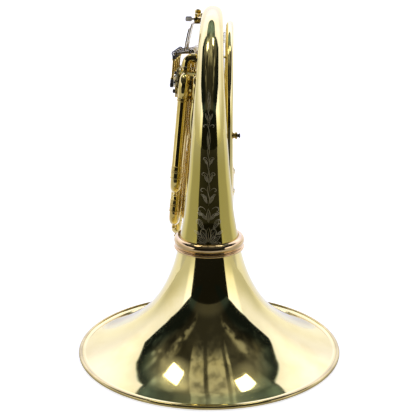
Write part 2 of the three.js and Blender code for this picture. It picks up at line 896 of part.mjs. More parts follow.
function lever({ valve, hubShares, bladeShare, lengthShare }, hubMiddle) {
  const hub = hubShares.map(atPitches);
  const blade = atPitches(bladeShare);
  const local = (y) => y - hubMiddle;
  const tube = rod(new Vector3(0, local(hub[0]), 0), new Vector3(0, local(hub[1]), 0), hubRadius, 12);
  const armY = local(valve * valvePitch + armOffset);
  const half = rad(leverTurn / 2);
  const tip = new Vector3(-leverArm * Math.cos(half), armY, -leverArm * Math.sin(half));
  const arm = rod(new Vector3(0, armY, 0), tip.clone(), armBar);
  const stud = rod(
    tip.clone().addScaledVector(axisY, armBar),
    tip.clone().addScaledVector(axisY, -studLength),
    studRadius,
  );
  const edge = (way) =>
    bladeShares.map(
      ([out, up]) => new Vector2(way * out * bladeHalfWidth, up * bladeLength * lengthShare),
    );
  const right = edge(1);
  const left = edge(-1).reverse();
  const plate = new THREE.ExtrudeGeometry(new THREE.Shape([...right, ...left]), {
    depth: bladeThickness,
    bevelEnabled: false,
  });
  plate.translate(0, 0, -bladeThickness / 2);
  const up = new Vector3(Math.sin(rad(bladeLean)), 0, Math.cos(rad(bladeLean)));
  const basis = new THREE.Matrix4().makeBasis(axisY, up, new Vector3().crossVectors(axisY, up));
  plate.applyMatrix4(basis.setPosition(-bladeOffset, local(blade), -armBar));
  const footHalfWidth = bladeShares[0][0] * bladeHalfWidth;
  const foot = block(
    new Vector3(-bladeOffset, local(blade) - footHalfWidth, -armBar / 2),
    new Vector3(0, local(blade) + footHalfWidth, armBar / 2),
  );
  const bore = rod(
    new Vector3(0, local(hub[0]) - cutOverrun, 0),
    new Vector3(0, local(hub[1]) + cutOverrun, 0),
    hingeRod + hubGap,
  );
  return cut(join(tube, arm, stud, plate, foot), bore);
}

// The link: an eye on the lever's stud, a rod, and a slotted eye on the stop arm's pin
const linkRod = 1.5;
const eyeWall = 2.2;
const studSlack = 0.6;
const pinSlack = 0.45;
const pinRest = pinReach * Math.cos(rad(restDegrees));
const linkY = (pinReach + pinRest) / 2;
const pinTravel = (pinReach - pinRest) / 2;
const linkTopZ = hingeZ - leverArm * Math.sin(rad(leverTurn / 2));
const linkLowZ = pinReach * Math.sin(rad(restDegrees));

function link() {
  const low = (x, y) => new Vector3(x, y, linkLowZ);
  const eyeX = [linkX - eyeThickness / 2, linkX + eyeThickness / 2];
  const eyeOuter = pinRadius + pinSlack + eyeWall;
  const across = (radius, start, end) =>
    [-1, 1].map((way) => {
      const y = linkY + way * pinTravel;
      return rod(low(start, y), low(end, y), radius, 12);
    });
  const web = (radius, start, end) =>
    block(
      new Vector3(start, linkY - pinTravel, linkLowZ - radius),
      new Vector3(end, linkY + pinTravel, linkLowZ + radius),
    );
  const slotRadius = pinRadius + pinSlack;
  const slotX = [eyeX[0] - cutOverrun, eyeX[1] + cutOverrun];
  const bar = rod(
    new Vector3(linkX, linkY, linkLowZ + eyeOuter - cutOverrun),
    new Vector3(linkX, linkY, linkTopZ - studRadius - studSlack - eyeWall / 2),
    linkRod,
  );
  const topEnds = (reach) =>
    [-reach, reach].map((y) => new Vector3(linkX, linkY + y, linkTopZ));
  const [topStart, topEnd] = topEnds(eyeThickness / 2);
  const top = rod(topStart, topEnd, studRadius + studSlack + eyeWall, 12);
  const [holeStart, holeEnd] = topEnds(eyeThickness / 2 + cutOverrun);
  const hole = rod(holeStart, holeEnd, studRadius + studSlack, 12);
  const low0 = across(eyeOuter, eyeX[0], eyeX[1]);
  return cut(
    join(...low0, web(eyeOuter, eyeX[0], eyeX[1]), bar, top),
    ...across(slotRadius, slotX[0], slotX[1]),
    web(slotRadius, slotX[0], slotX[1]),
    hole,
  );
}

levers.forEach((plan) => {
  const { name } = valves[plan.valve];
  const title = plan.valve === 0 ? "thumb" : name;
  const middle = atPitches((plan.hubShares[0] + plan.hubShares[1]) / 2);
  const press = pivot(`${title}_lever_press`, new Vector3(hingeX, middle, hingeZ), axisY, valveRow);
  piece(`${title}_lever`, lever(plan, middle), brass, press);
  const seat = new Vector3(0, plan.valve * valvePitch, 0);
  const travel = pivot(`${title}_link_travel`, seat, axisZ, valveRow);
  piece(`${title}_link`, link(), rubber, travel);
});

// Hinge rod, and the bracket that carries it on the first and third valves' casings
const hingeRodEnds = [0.162, 3.5].map(atPitches);
const bracketEnds = [0.69, 3.476].map(atPitches);
const bracketHalfWidth = 4;
const bracketLow = 20;
const bracketThickness = 2.4;
const footHalf = 3;
const uprightHalf = 1.5;
const uprightHalfWidth = 3.4;
const uprights = [0.726, 1.755, 3.43].map(atPitches);

function leverBracket() {
  const bar = block(
    new Vector3(hingeX - bracketHalfWidth, bracketEnds[0], bracketLow),
    new Vector3(hingeX + bracketHalfWidth, bracketEnds[1], bracketLow + bracketThickness),
  );
  const feet = [1, 3].map((index) =>
    block(
      new Vector3(hingeX - bracketHalfWidth, index * valvePitch - footHalf, casingRadius + seatGap),
      new Vector3(hingeX + bracketHalfWidth, index * valvePitch + footHalf, bracketLow + cutOverrun),
    ),
  );
  const posts = uprights.map((y) =>
    block(
      new Vector3(hingeX - uprightHalfWidth, y - uprightHalf, bracketLow + cutOverrun),
      new Vector3(hingeX + uprightHalfWidth, y + uprightHalf, hingeZ + uprightHalfWidth),
    ),
  );
  const bore = rod(
    new Vector3(hingeX, bracketEnds[0] - cutOverrun, hingeZ),
    new Vector3(hingeX, bracketEnds[1] + cutOverrun, hingeZ),
    hingeRod + hubGap / 2,
  );
  return cut(join(bar, ...feet, ...posts), bore);
}
piece("lever_bracket", leverBracket(), brass, valveRow);
piece(
  "lever_hinge_rod",
  rod(new Vector3(hingeX, hingeRodEnds[0], hingeZ), new Vector3(hingeX, hingeRodEnds[1], hingeZ), hingeRod),
  steel,
  valveRow,
);

// Water key on the leadpipe: a barrel with a button that is pressed in
const waterKeyLift = 1; // above the leadpipe's circle's centre
const waterKeyZ = leadCircleZ + waterKeyLift;
const waterKeyLength = 5;
const waterKeyRadius = 4;
const waterKeyBore = 2.3;
const waterKeyFloor = 1.2;
const buttonRadius = 1.9;
const buttonHead = 2.7;
const buttonHeadLength = 1.6;
const buttonTravel = 1.5;
const keySides = 12;
const keyAt = (x) => new Vector3(x, leadCorner.y, waterKeyZ);
const keyPipeRadius = leadTubing.radii[leadArcSteps + 1];
const keyStart = leadX + keyPipeRadius;
const keyEnd = keyStart + waterKeyLength;

const keyBarrel = rod(keyAt(leadX + keyPipeRadius / 2), keyAt(keyEnd), waterKeyRadius, keySides);
const keyBore = rod(keyAt(keyStart + waterKeyFloor), keyAt(keyEnd + cutOverrun), waterKeyBore, keySides);
piece("water_key_barrel", cut(keyBarrel, skin(leadTubing, leadSides), keyBore), brass);

const buttonSeat = keyEnd + buttonTravel + seatGap;
const keyPivot = pivot("water_key_press", keyAt(buttonSeat), new Vector3(-1, 0, 0));
const buttonX = (x) => new Vector3(x - buttonSeat, 0, 0);
piece(
  "water_key_button",
  pipe(
    [
      buttonX(keyStart + waterKeyFloor + buttonTravel + seatGap),
      buttonX(buttonSeat),
      buttonX(buttonSeat),
      buttonX(buttonSeat + buttonHeadLength),
    ],
    [buttonRadius, buttonRadius, buttonHead, buttonHead],
    keySides,
  ),
  rubber,
  keyPivot,
);

// Little-finger hook beside the third lever: a saddle with two posts on the tail, the hook's
// strip under it, which bends up behind the posts, and the screw that sets it
const saddleForwardShare = 0.41; // past the coil's centre, as a share of the coil's radius
const saddleUpShare = 0.886; // above the coil's centre, as a share of the coil's radius
const saddleReach = 25; // how far out from the coil's plane it ends
const saddleWidth = 16;
const saddleLength = 18;
const saddleHeight = 5.5;
const saddleLow = new Vector3(
  -saddleReach,
  (1 + saddleForwardShare) * coilRadius,
  coilHeight + saddleUpShare * coilRadius,
);
const saddleHigh = saddleLow.clone().add(new Vector3(saddleWidth, saddleLength, saddleHeight));
const postHeight = 15; // of the outer post's top above the saddle's foot
const postPlaceShares = [
  // shares of the saddle's width, of its length and of the post's height
  [0.19, 0.22, 1],
  [0.5, 0.72, 0.9],
];
const saddlePosts = postPlaceShares.map(([across, along, up]) =>
  saddleLow
    .clone()
    .add(new Vector3(across * saddleWidth, along * saddleLength, up * postHeight)),
);
const saddlePost = 2;
const hookThickness = 1.8;
const hookHalfWidth = 4;
const hookX = -21;
const hookRadius = 10; // middle of the strip
const hookRun = 10; // from the saddle's far edge to where the strip starts to bend
const hookDegrees = 160;
const hookSteps = 8;
const screwNeck = 1.5;
const screwRadius = 3.2;
const screwLength = 11;

function hookSaddle() {
  const posts = saddlePosts.map((top) => {
    const foot = top.clone().setZ((saddleLow.z + saddleHigh.z) / 2);
    return rod(foot, top, saddlePost);
  });
  return cut(join(block(saddleLow, saddleHigh), ...posts), skin(tailLine(), tailSides));
}
piece("hook_saddle", hookSaddle(), brass);

function fingerHook() {
  const line = route(new Vector3(0, saddleLow.y, 0), axisY)
    .straight(saddleLength + hookRun)
    .bend(hookRadius, hookDegrees, axisX, hookSteps).points;
  const offset = (point, i, way) => {
    const before = line[Math.max(i - 1, 0)];
    const after = line[Math.min(i + 1, line.length - 1)];
    const along = after.clone().sub(before).normalize();
    return new Vector2(
      point.y - (way * along.z * hookThickness) / 2,
      point.z + (way * along.y * hookThickness) / 2,
    );
  };
  const upper = line.map((point, i) => offset(point, i, 1));
  const lower = line.map((point, i) => offset(point, i, -1)).reverse();
  const strip = new THREE.ExtrudeGeometry(new THREE.Shape([...upper, ...lower]), {
    depth: 2 * hookHalfWidth,
    bevelEnabled: false,
  });
  const basis = new THREE.Matrix4().makeBasis(axisY, axisZ, axisX);
  const topZ = saddleLow.z - seatGap - hookThickness / 2;
  return strip.applyMatrix4(basis.setPosition(hookX - hookHalfWidth, 0, topZ));
}
piece("finger_hook", fingerHook(), brass);

const screwAt = (out) =>
  new Vector3(
    saddleLow.x - seatGap - out,
    (saddleLow.y + saddleHigh.y) / 2,
    (saddleLow.z + saddleHigh.z) / 2,
  );
const screwShares = [0, 0.25, 0.25, 0.92, 1]; // shares of the screw's length
piece(
  "hook_screw",
  pipe(
    screwShares.map((share) => screwAt(share * screwLength)),
    [screwNeck, screwNeck, screwRadius, screwRadius, screwRadius - cutOverrun],
    keySides,
  ),
  nickel,
);

// Stays that tie the tubing together
const stayRadius = 1.9;
const leadStayDegrees = 50;
const coilStayY = 122;
const rowStayDegrees = 148;
const sleeveLine = { points: [mainMiddle, mainMiddle.clone().addScaledVector(axisY, mainLength)] };
sleeveLine.points = sleeveLine.points.map((point) => point.clone().sub(mainSpread));
sleeveLine.radii = [tubeRadius, tubeRadius];

const leadStay = rod(onCoil(leadStayDegrees), onLead(leadStayDegrees), stayRadius);
piece("leadpipe_stay", cut(leadStay, skin(tailLine(), tailSides), skin(leadTubing, leadSides)), brass);

const coilStay = rod(
  new Vector3(0, coilStayY, coilHeight - coilRadius),
  new Vector3(leadX, coilStayY, mainLowZ),
  stayRadius,
);
piece("coil_stay", cut(coilStay, skin(branchLine(), branchSides), skin(sleeveLine, tubeSides)), brass);

const lastCasing = (valves.length - 1) * valvePitch;
const casingEnds = [casingFrontX, casingBackX].map((x) => fromRow(x, lastCasing, 0));
const casingSkin = skin({ points: casingEnds, radii: [casingRadius, casingRadius] }, 4 * casingSides);
const rowStay = rod(fromRow(bFlatLevelX, lastCasing, passageHeight), onCoil(rowStayDegrees), stayRadius);
piece("valve_row_stay", cut(rowStay, skin(tailLine(), tailSides), casingSkin), brass);

// The part's frame: the middle of its bounding box, on the floor
const frameBox = new THREE.Box3().setFromObject(horn, true);
const frameMiddle = frameBox.getCenter(new Vector3());
horn.position.set(-frameMiddle.x, -frameMiddle.y, -frameBox.min.z);

export default horn;
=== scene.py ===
import math

import bmesh
import bpy
import numpy as np
from mathutils import Matrix, Vector


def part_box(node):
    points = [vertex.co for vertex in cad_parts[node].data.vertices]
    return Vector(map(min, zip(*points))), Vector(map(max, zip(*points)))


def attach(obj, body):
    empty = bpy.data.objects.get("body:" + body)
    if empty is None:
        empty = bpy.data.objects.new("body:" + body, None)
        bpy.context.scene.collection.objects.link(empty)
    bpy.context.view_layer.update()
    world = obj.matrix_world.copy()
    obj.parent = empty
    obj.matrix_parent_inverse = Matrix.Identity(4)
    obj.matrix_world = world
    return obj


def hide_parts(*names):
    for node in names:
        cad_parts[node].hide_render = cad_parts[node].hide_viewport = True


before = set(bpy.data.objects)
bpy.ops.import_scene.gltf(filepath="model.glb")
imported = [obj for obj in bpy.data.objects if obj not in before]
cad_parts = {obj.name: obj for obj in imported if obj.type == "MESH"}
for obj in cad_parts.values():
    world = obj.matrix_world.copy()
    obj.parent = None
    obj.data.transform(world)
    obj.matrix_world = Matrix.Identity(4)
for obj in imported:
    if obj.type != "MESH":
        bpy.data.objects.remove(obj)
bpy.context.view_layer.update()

# The studio: a white floor and a tent of white cloth round the horn. The tent is open in front,
# where the room behind the camera is dark, and overhead, where a dim ceiling shows with a lit
# panel and two lamps. The camera stands well in front and looks down at the horn.
millimetre = 0.001
rim_low, rim_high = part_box("bell_flare")
bell_axis_y = (rim_low.y + rim_high.y) / 2
camera_distance = 1258 * millimetre
camera_height = 591.7 * millimetre
camera_side_step = -1.4 * millimetre
camera_turn = math.radians(1.8)
camera_pitch = math.radians(18.218)

camera_data = bpy.data.cameras.new("studio_camera")
camera_data.lens = 99.52
camera_data.sensor_width = 36
camera = bpy.data.objects.new("studio_camera", camera_data)
bpy.context.scene.collection.objects.link(camera)
bpy.context.scene.camera = camera
ahead = Vector((-math.sin(camera_turn), math.cos(camera_turn), 0))
rightward = Vector((math.cos(camera_turn), math.sin(camera_turn), 0))
camera.location = Vector((0, bell_axis_y, camera_height)) - camera_distance * ahead
camera.location += camera_side_step * rightward
camera.rotation_euler = (math.pi / 2 - camera_pitch, 0, camera_turn)

# Brightness of each part of the studio
cloth_low = 0.69
cloth_high = 1.18
cloth_back = 0.55  # how much more it shines high up behind the horn
cloth_hem = 0.5  # how much more the cloth shines beside its open front
room_dark = 0.009
ceiling_dim = 0.022
panel_bright = 0.42
lamp_bright = 6.0

world = bpy.data.worlds.new("white_tent")
bpy.context.scene.world = world
world.use_nodes = True
tent = world.node_tree
tent.nodes.clear()


def node(tree, kind, **settings):
    made = tree.nodes.new(kind)
    for name, value in settings.items():
        setattr(made, name, value)
    return made


class Value:
    """A number that a node gives out, so that shading can be written as plain sums."""

    def __init__(self, tree, socket):
        self.tree = tree
        self.socket = socket

    def feed(self, *sockets):
        for socket in sockets:
            self.tree.links.new(self.socket, socket)

    def worked(self, operation, *terms):
        made = node(self.tree, "ShaderNodeMath", operation=operation)
        for term, socket in zip((self, *terms), made.inputs):
            if isinstance(term, Value):
                term.feed(socket)
            else:
                socket.default_value = term
        return Value(self.tree, made.outputs[0])

    def __add__(self, other):
        return self.worked("ADD", other)

    def __sub__(self, other):
        return self.worked("SUBTRACT", other)

    def __rsub__(self, other):
        return self.worked("MULTIPLY_ADD", -1, other)

    def __mul__(self, other):
        return self.worked("MULTIPLY", other)

    def __truediv__(self, other):
        return self.worked("DIVIDE", other)

    def size(self):
        return self.worked("ABSOLUTE")

    def root(self):
        return self.worked("SQRT")

    def least(self, other):
        return self.worked("MINIMUM", other)

    def most(self, other):
        return self.worked("MAXIMUM", other)

    def below(self, limit):
        return self.worked("LESS_THAN", limit)

    def blend(self, low, high):
        """Goes from low to high as this goes from 0 to 1."""
        return self * (high - low) + low

    def ramp(self, low, high):
        """0 at low, 1 at high, and a smooth change between them."""
        made = node(self.tree, "ShaderNodeMapRange", interpolation_type="SMOOTHSTEP")
        self.feed(made.inputs["Value"])
        made.inputs["From Min"].default_value = low
        made.inputs["From Max"].default_value = high
        return Value(self.tree, made.outputs["Result"])


def axes_of(tree, space="Object"):
    """The three parts of the place or direction that is shaded."""
    split = node(tree, "ShaderNodeSeparateXYZ")
    tree.links.new(node(tree, "ShaderNodeTexCoord").outputs[space], split.inputs[0])
    return [Value(tree, part) for part in split.outputs]


def clouds(tree, place, scale, detail):
    """Soft noise over a place, between 0 and 1."""
    noise = node(tree, "ShaderNodeTexNoise")
    noise.inputs["Scale"].default_value = scale
    noise.inputs["Detail"].default_value = detail
    tree.links.new(place, noise.inputs["Vector"])
    return Value(tree, noise.outputs["Fac"])


east, north, up = axes_of(tent, "Generated")
facing = (east * 0.05 - north) / (1.0001 - up * up).root()  # cosine of the way round from the front

# Where a direction meets the ceiling, for a ceiling one unit overhead
lowest_up = 0.03
ceiling_x = east / up.most(lowest_up)
ceiling_y = north / up.most(lowest_up)
ceiling_side = ceiling_x.size()

# The opening overhead: two slanted edges with a round tip between them at the back, cut off at
# its corners and sides
side_square = ceiling_side * ceiling_side
opening_straight = ceiling_side * 0.33 + 0.31
opening_tip = side_square * side_square * -9 + 0.92
opening_corner = ceiling_side * -1.4 + 2.41
opening_side = 1.78
back_room = opening_tip.most(opening_straight).least(opening_corner) - ceiling_y
room = back_room.least(opening_side - ceiling_side)  # how far inside the opening's edge it is
opening = room.ramp(0, 0.03) * up.ramp(0.3, 0.32)
front_edge = 0.62  # cosine of half the front's angle
front = facing.ramp(front_edge, front_edge + 0.02) * up.below(0.42)
unclothed = opening.most(front)

height_share = up.ramp(0.04, 0.42)
hem = (east * 0.1 + facing).ramp(0.22, 0.36) * up.ramp(0, 0.16)
behind = up.ramp(0.3, 0.6) * north.ramp(0.3, 0.7)
far_wall = north.ramp(0.5, 0.9) * (1 - height_share)
cloth = height_share.blend(cloth_low, cloth_high) + hem * cloth_hem
cloth = cloth + behind * cloth_back + far_wall * (cloth_high - cloth_low)

# The ceiling: dim and patchy, brighter towards the back, with the lit panel under the lamps
over = node(tent, "ShaderNodeCombineXYZ")
ceiling_x.feed(over.inputs[0])
ceiling_y.feed(over.inputs[1])


def patches(scale, detail):
    return clouds(tent, over.outputs[0], scale, detail)


lumps = node(tent, "ShaderNodeTexVoronoi", feature="SMOOTH_F1")
lumps.inputs["Scale"].default_value = 7
tent.links.new(over.outputs[0], lumps.inputs["Vector"])
inward = room.ramp(0.03, 0.25)
lumpy = Value(tent, lumps.outputs["Distance"]).ramp(0.45, 0.15) * ceiling_y.ramp(0.05, 0.25) * inward
lump_side = ceiling_x.ramp(0.3, -0.3) * ceiling_side.ramp(0.95, 0.65)
haze = patches(2.6, 5).ramp(0.4, 0.68) * ceiling_y.ramp(-1.1, 0.5) * inward * ceiling_side.ramp(1.2, 0.7)
ceiling_start = ceiling_y.ramp(-1.56, -1.5)
front_band = ceiling_start * ceiling_y.ramp(-1.0, -1.3)
back_glow = (ceiling_y - opening_straight).ramp(-0.02, 0.08) * room.ramp(0.02, 0.1)
low_glow = ceiling_y.ramp(0, 0.2) * ceiling_side.ramp(1.0, 0.55) * inward
low_glow = low_glow * patches(4, 3).ramp(0.25, 0.65)
curtain_place = (ceiling_side - 0.58).size()
curtain = curtain_place.ramp(0.13, 0.02) * ceiling_y.ramp(-1.3, -0.1) * ceiling_y.ramp(0.12, 0)
folds = patches(5, 4).ramp(0.38, 0.62)
ceiling = ceiling_start * ceiling_side.ramp(1.0, 0.2) * ceiling_dim + room_dark
ceiling = ceiling + front_band * 0.04 + haze * 0.08 + back_glow * 0.12 + low_glow * 0.16
ceiling = ceiling + curtain * folds * 0.3 + lumpy * (lump_side * 0.4 + 0.03)

panel_place = (ceiling_x - 0.02) / (ceiling_y * -0.3 + 0.23)  # -1 to 1 across the panel
panel_edges = ceiling_y.ramp(-0.45, -0.42) * panel_place.size().ramp(1.0, 0.93)
panel_along = ceiling_y.ramp(-0.34, -0.05) * ceiling_y.ramp(0.6, 0.25)
seams = (panel_place * 6.5).worked("SINE").ramp(-0.93, -0.75)
streaks = patches(11, 3).ramp(0.32, 0.6)
panel = panel_edges * seams * (panel_along * panel_bright + 0.05) * (streaks * 0.8 + 0.4)
ceiling = ceiling.most(panel)

lamp_half_y = 0.075
for lamp_x, lamp_y, lamp_half_x, halo in ((-0.335, 0.12, 0.085, 0.3), (0.28, 0.21, 0.07, 0.16)):
    reach_x = (ceiling_x - lamp_x).size()
    reach_y = (ceiling_y - lamp_y).size()
    glow_reach = (reach_x * reach_x + reach_y * reach_y).root()
    ceiling = ceiling + reach_x.below(lamp_half_x) * reach_y.below(lamp_half_y) * lamp_bright
    ceiling = ceiling + glow_reach.ramp(0.24, 0.08) * halo

bright = unclothed.blend(cloth, opening.blend(room_dark, ceiling))
daylight = node(tent, "ShaderNodeCombineColor")
sea_green = ceiling_side.ramp(0.75, 1.1).most(ceiling_y.ramp(0.15, 0.5))
tints = ((0, -0.3), (0.03, 0.06), (0.5, 0.35))  # of high cloth and of the opening's far parts
for channel, (cool, green) in enumerate(tints):
    shade = opening * sea_green * green + (1 - unclothed) * height_share * cool + 1
    (bright * shade).feed(daylight.inputs[channel])
tent_light = node(tent, "ShaderNodeBackground")
tent.links.new(daylight.outputs[0], tent_light.inputs["Color"])
plain_white = node(tent, "ShaderNodeBackground")
plain_white.inputs["Color"].default_value = (1, 1, 1, 1)
backdrop = node(tent, "ShaderNodeMixShader")  # the camera sees plain white, the horn sees the tent
tent.links.new(node(tent, "ShaderNodeLightPath").outputs["Is Camera Ray"], backdrop.inputs[0])
tent.links.new(tent_light.outputs[0], backdrop.inputs[1])
tent.links.new(plain_white.outputs[0], backdrop.inputs[2])
tent.links.new(backdrop.outputs[0], node(tent, "ShaderNodeOutputWorld").inputs[0])
bpy.context.scene.view_settings.view_transform = "Standard"

floor_reach = 6.0
floor_white = 0.85
floor_shine = 0.72
sheet_end = 0.34  # how far the white sheet reaches in front of the bell's axis, in metres
floor_mesh = bpy.data.meshes.new("studio_floor")
floor_corners = [(x * floor_reach, y * floor_reach, 0) for x, y in ((-1, -1), (1, -1), (1, 1), (-1, 1))]
floor_mesh.from_pydata(floor_corners, [], [(0, 1, 2, 3)])
floor_paint = bpy.data.materials.new("white_floor")
floor_paint.use_nodes = True
floor_tree = floor_paint.node_tree
floor_look = floor_tree.nodes["Principled BSDF"]
floor_look.inputs["Roughness"].default_value = 0.9
floor_look.inputs["Emission Color"].default_value = (1, 1, 1, 1)
# The sheet ends in front of the horn, where the horn mirrors the dark room's floor
floor_x, floor_y, _ = axes_of(floor_tree)
forward = bell_axis_y - floor_y
sideways = floor_x.size()
beyond = (forward - sheet_end).least(forward * 1.25 - sideways)
mirrored = Value(floor_tree, node(floor_tree, "ShaderNodeLightPath").outputs["Is Glossy Ray"])
bare_floor = mirrored * beyond.ramp(0, 0.02) * 0.985
far_sheet = (sideways * -0.2 - forward).ramp(-0.05, 0.3) * 0.36 - 0.52
sheet = (1 - bare_floor) * (mirrored * far_sheet + 1)
(sheet * floor_shine).feed(floor_look.inputs["Emission Strength"])
floor_tone = node(floor_tree, "ShaderNodeCombineColor")
(sheet * floor_white).feed(*floor_tone.inputs[:3])
floor_tree.links.new(floor_tone.outputs[0], floor_look.inputs["Base Color"])
floor_mesh.materials.append(floor_paint)
studio_floor = bpy.data.objects.new("studio_floor", floor_mesh)
bpy.context.scene.collection.objects.link(studio_floor)

# Bell flare: sheet brass spun to a wide bell and lacquered, with its edge rolled outwards over
# a steel wire. It screws on and off, so that it turns with the lower ring.
# Every piece is drawn in millimetres from the bell's axis, with the rim on the floor.
rim_radius = 155.5
flare_height = 139
throat_radius = 34.6
bell_sheet = 0.8
bead_radius = 2.5
bead_height = 2.6
bead_centre = (rim_radius - bead_height, bead_height)
facet_drop = 0.0886  # how far the part's floor lies above the drawing's
flare_points = [  # share of the height, share of the way from the throat to the rim
    *((0.022, 0.938), (0.072, 0.806), (0.144, 0.653), (0.252, 0.471), (0.396, 0.297)),
    *((0.576, 0.16), (0.755, 0.072), (0.942, 0.013), (1, 0)),
]


def vector(*numbers):
    return np.array(numbers, float)


def unit(way):
    return way / np.linalg.norm(way)


origin = vector(0, 0, 0)
upward = vector(0, 0, 1)
rearward = vector(0, 1, 0)


def smooth_line(points, steps):
    """A smooth line through points, as a spline whose knots are spaced by the root of distance."""
    points = [np.asarray(point, float) for point in points]
    points = [2 * points[0] - points[1], *points, 2 * points[-1] - points[-2]]
    line = []
    for a, b, c, d in zip(points, points[1:], points[2:], points[3:]):
        gaps = [math.sqrt(np.linalg.norm(q - p)) for p, q in ((a, b), (b, c), (c, d))]
        leave = (b - a) / gaps[0] - (c - a) / (gaps[0] + gaps[1]) + (c - b) / gaps[1]
        reach = (c - b) / gaps[1] - (d - b) / (gaps[1] + gaps[2]) + (d - c) / gaps[2]
        leave, reach = leave * gaps[1], reach * gaps[1]
        for step in range(steps):
            t = step / steps
            bend = (2 * b - 2 * c + leave + reach) * t**3
            bend = bend + (3 * c - 3 * b - 2 * leave - reach) * t**2
            line.append(bend + leave * t + b)
    line.append(points[-2])
    return line


def skinned(rings):
    """Joins rings of points, each to the next and the last to the first, into one shell."""
    rings = np.asarray(rings)
    count, sides, _ = rings.shape
    near = np.arange(count * sides).reshape(count, sides)
    side = np.roll(near, -1, axis=1)
    faces = np.stack([near, side, np.roll(side, -1, axis=0), np.roll(near, -1, axis=0)], axis=-1)
    return rings.reshape(-1, 3), faces.reshape(-1, 4).tolist()


def rounded(centre, radius, turns):
    """Points round a centre, at turns in radians."""
    x, y = centre
    return [(x + radius * math.cos(turn), y + radius * math.sin(turn)) for turn in turns]


def crossways(heading):
    """Two directions square to a heading and to each other."""
    start = rearward if abs(heading[0]) > 0.8 else vector(1, 0, 0)
    first = unit(start - heading * np.dot(start, heading))
    return first, np.cross(heading, first)


def turned(foot, heading, outline, sides=48):
    """A piece turned on a lathe: a closed outline of (distance along, radius[, tooth depth])."""
    foot, heading = np.asarray(foot, float), unit(np.asarray(heading, float))
    first, second = crossways(heading)
    turns = np.linspace(0, 2 * math.pi, sides, endpoint=False)[:, None]
    teeth = (np.arange(sides) % 2)[:, None]
    rings = []
    for along, radius, *depth in outline:
        reach = radius - teeth * (depth[0] if depth else 0)
        rings.append(foot + heading * along + reach * (np.cos(turns) * first + np.sin(turns) * second))
    return skinned(rings)


def eased(outline, ease, steps=3):
    """Rounds each corner of a closed outline, apart from those on the axis."""
    soft = []
    count = len(outline)
    for i, here in enumerate(outline):
        before, after = vector(*outline[i - 1][:2]), vector(*outline[(i + 1) % count][:2])
        corner = vector(*here[:2])
        reach_in, reach_out = np.linalg.norm(before - corner), np.linalg.norm(after - corner)
        if here[1] < 1e-6 or min(reach_in, reach_out) < 1e-6:
            soft.append(tuple(here))
            continue
        start = corner + (before - corner) / reach_in * min(ease, 0.45 * reach_in)
        end = corner + (after - corner) / reach_out * min(ease, 0.45 * reach_out)
        for step in range(steps + 1):
            t = step / steps
            place = (1 - t) ** 2 * start + 2 * t * (1 - t) * corner + t**2 * end
            soft.append((place[0], place[1], *here[2:]))
    return soft


def shown(name, shells, finish, node_name, body="horn_body", crease=32):
    """Makes a piece from shells, gives it its finish and the body that it moves with."""
    corners, faces = [], []
    for places, sides in shells:
        faces += [[corner + len(corners) for corner in side] for side in sides]
        corners += np.asarray(places).tolist()
    shift = vector(0, bell_axis_y, -facet_drop * millimetre)
    mesh = bpy.data.meshes.new(name)
    mesh.from_pydata((np.array(corners) * millimetre + shift).tolist(), [], faces)
    work = bmesh.new()
    work.from_mesh(mesh)
    bmesh.ops.remove_doubles(work, verts=work.verts, dist=0.002 * millimetre)
    bmesh.ops.recalc_face_normals(work, faces=work.faces)
    work.to_mesh(mesh)
    work.free()
    mesh.shade_smooth()
    mesh.set_sharp_from_angle(angle=math.radians(crease))
    mesh.materials.append(finish)
    made = bpy.data.objects.new(name, mesh)
    bpy.context.scene.collection.objects.link(made)
    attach(made, body)
    if node_name:
        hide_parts(node_name)
    return made


class Finish:
    """A new material, with what its two kinds below have in common."""

    def __init__(self, name):
        self.material = bpy.data.materials.new(name)
        self.material.use_nodes = True
        self.tree = self.material.node_tree
        self.look = self.tree.nodes["Principled BSDF"]
        self.place = node(self.tree, "ShaderNodeTexCoord").outputs["Object"]

    def cloud(self, scale, detail):
        return clouds(self.tree, self.place, scale, detail)

    def toned(self, first, second, share, rough):
        """Goes from the first colour to the second by a share, and gives the roughness."""
        tone = node(self.tree, "ShaderNodeMix", data_type="RGBA")
        tone.inputs[6].default_value = (*first, 1)
        tone.inputs[7].default_value = (*second, 1)
        share.feed(tone.inputs["Factor"])
        self.tree.links.new(tone.outputs[2], self.look.inputs["Base Color"])
        rough.feed(self.look.inputs["Roughness"])

    def uneven(self, height, strength, distance):
        bump = node(self.tree, "ShaderNodeBump")
        bump.inputs["Strength"].default_value = strength
        bump.inputs["Distance"].default_value = distance
        height.feed(bump.inputs["Height"])
        self.tree.links.new(bump.outputs[0], self.look.inputs["Normal"])


def polished_metal(name, light, deep, dull, cloudy=0.05, coat=0.6):
    """Buffed metal under clear lacquer: its tone drifts, its gloss is cloudy and it is never flat."""
    made = Finish(name)
    made.look.inputs["Metallic"].default_value = 1
    made.look.inputs["Coat Weight"].default_value = coat
    made.look.inputs["Coat Roughness"].default_value = 0.04
    specks = made.cloud(900, 3).ramp(0.62, 0.74)
    tarnish = made.cloud(28, 4).ramp(0.35, 0.75) + specks * 0.5
    rough = made.cloud(60, 5) * cloudy + dull + specks * 0.12
    made.toned(light, deep, tarnish.least(1), rough)
    made.uneven(made.cloud(35, 2), 0.02, 0.002)
    return made.material


lacquer_light = (0.80, 0.675, 0.27)
lacquer_deep = (0.74, 0.60, 0.20)
lacquer_dull = 0.035
yellow_brass = polished_metal("lacquered_brass", lacquer_light, lacquer_deep, lacquer_dull)


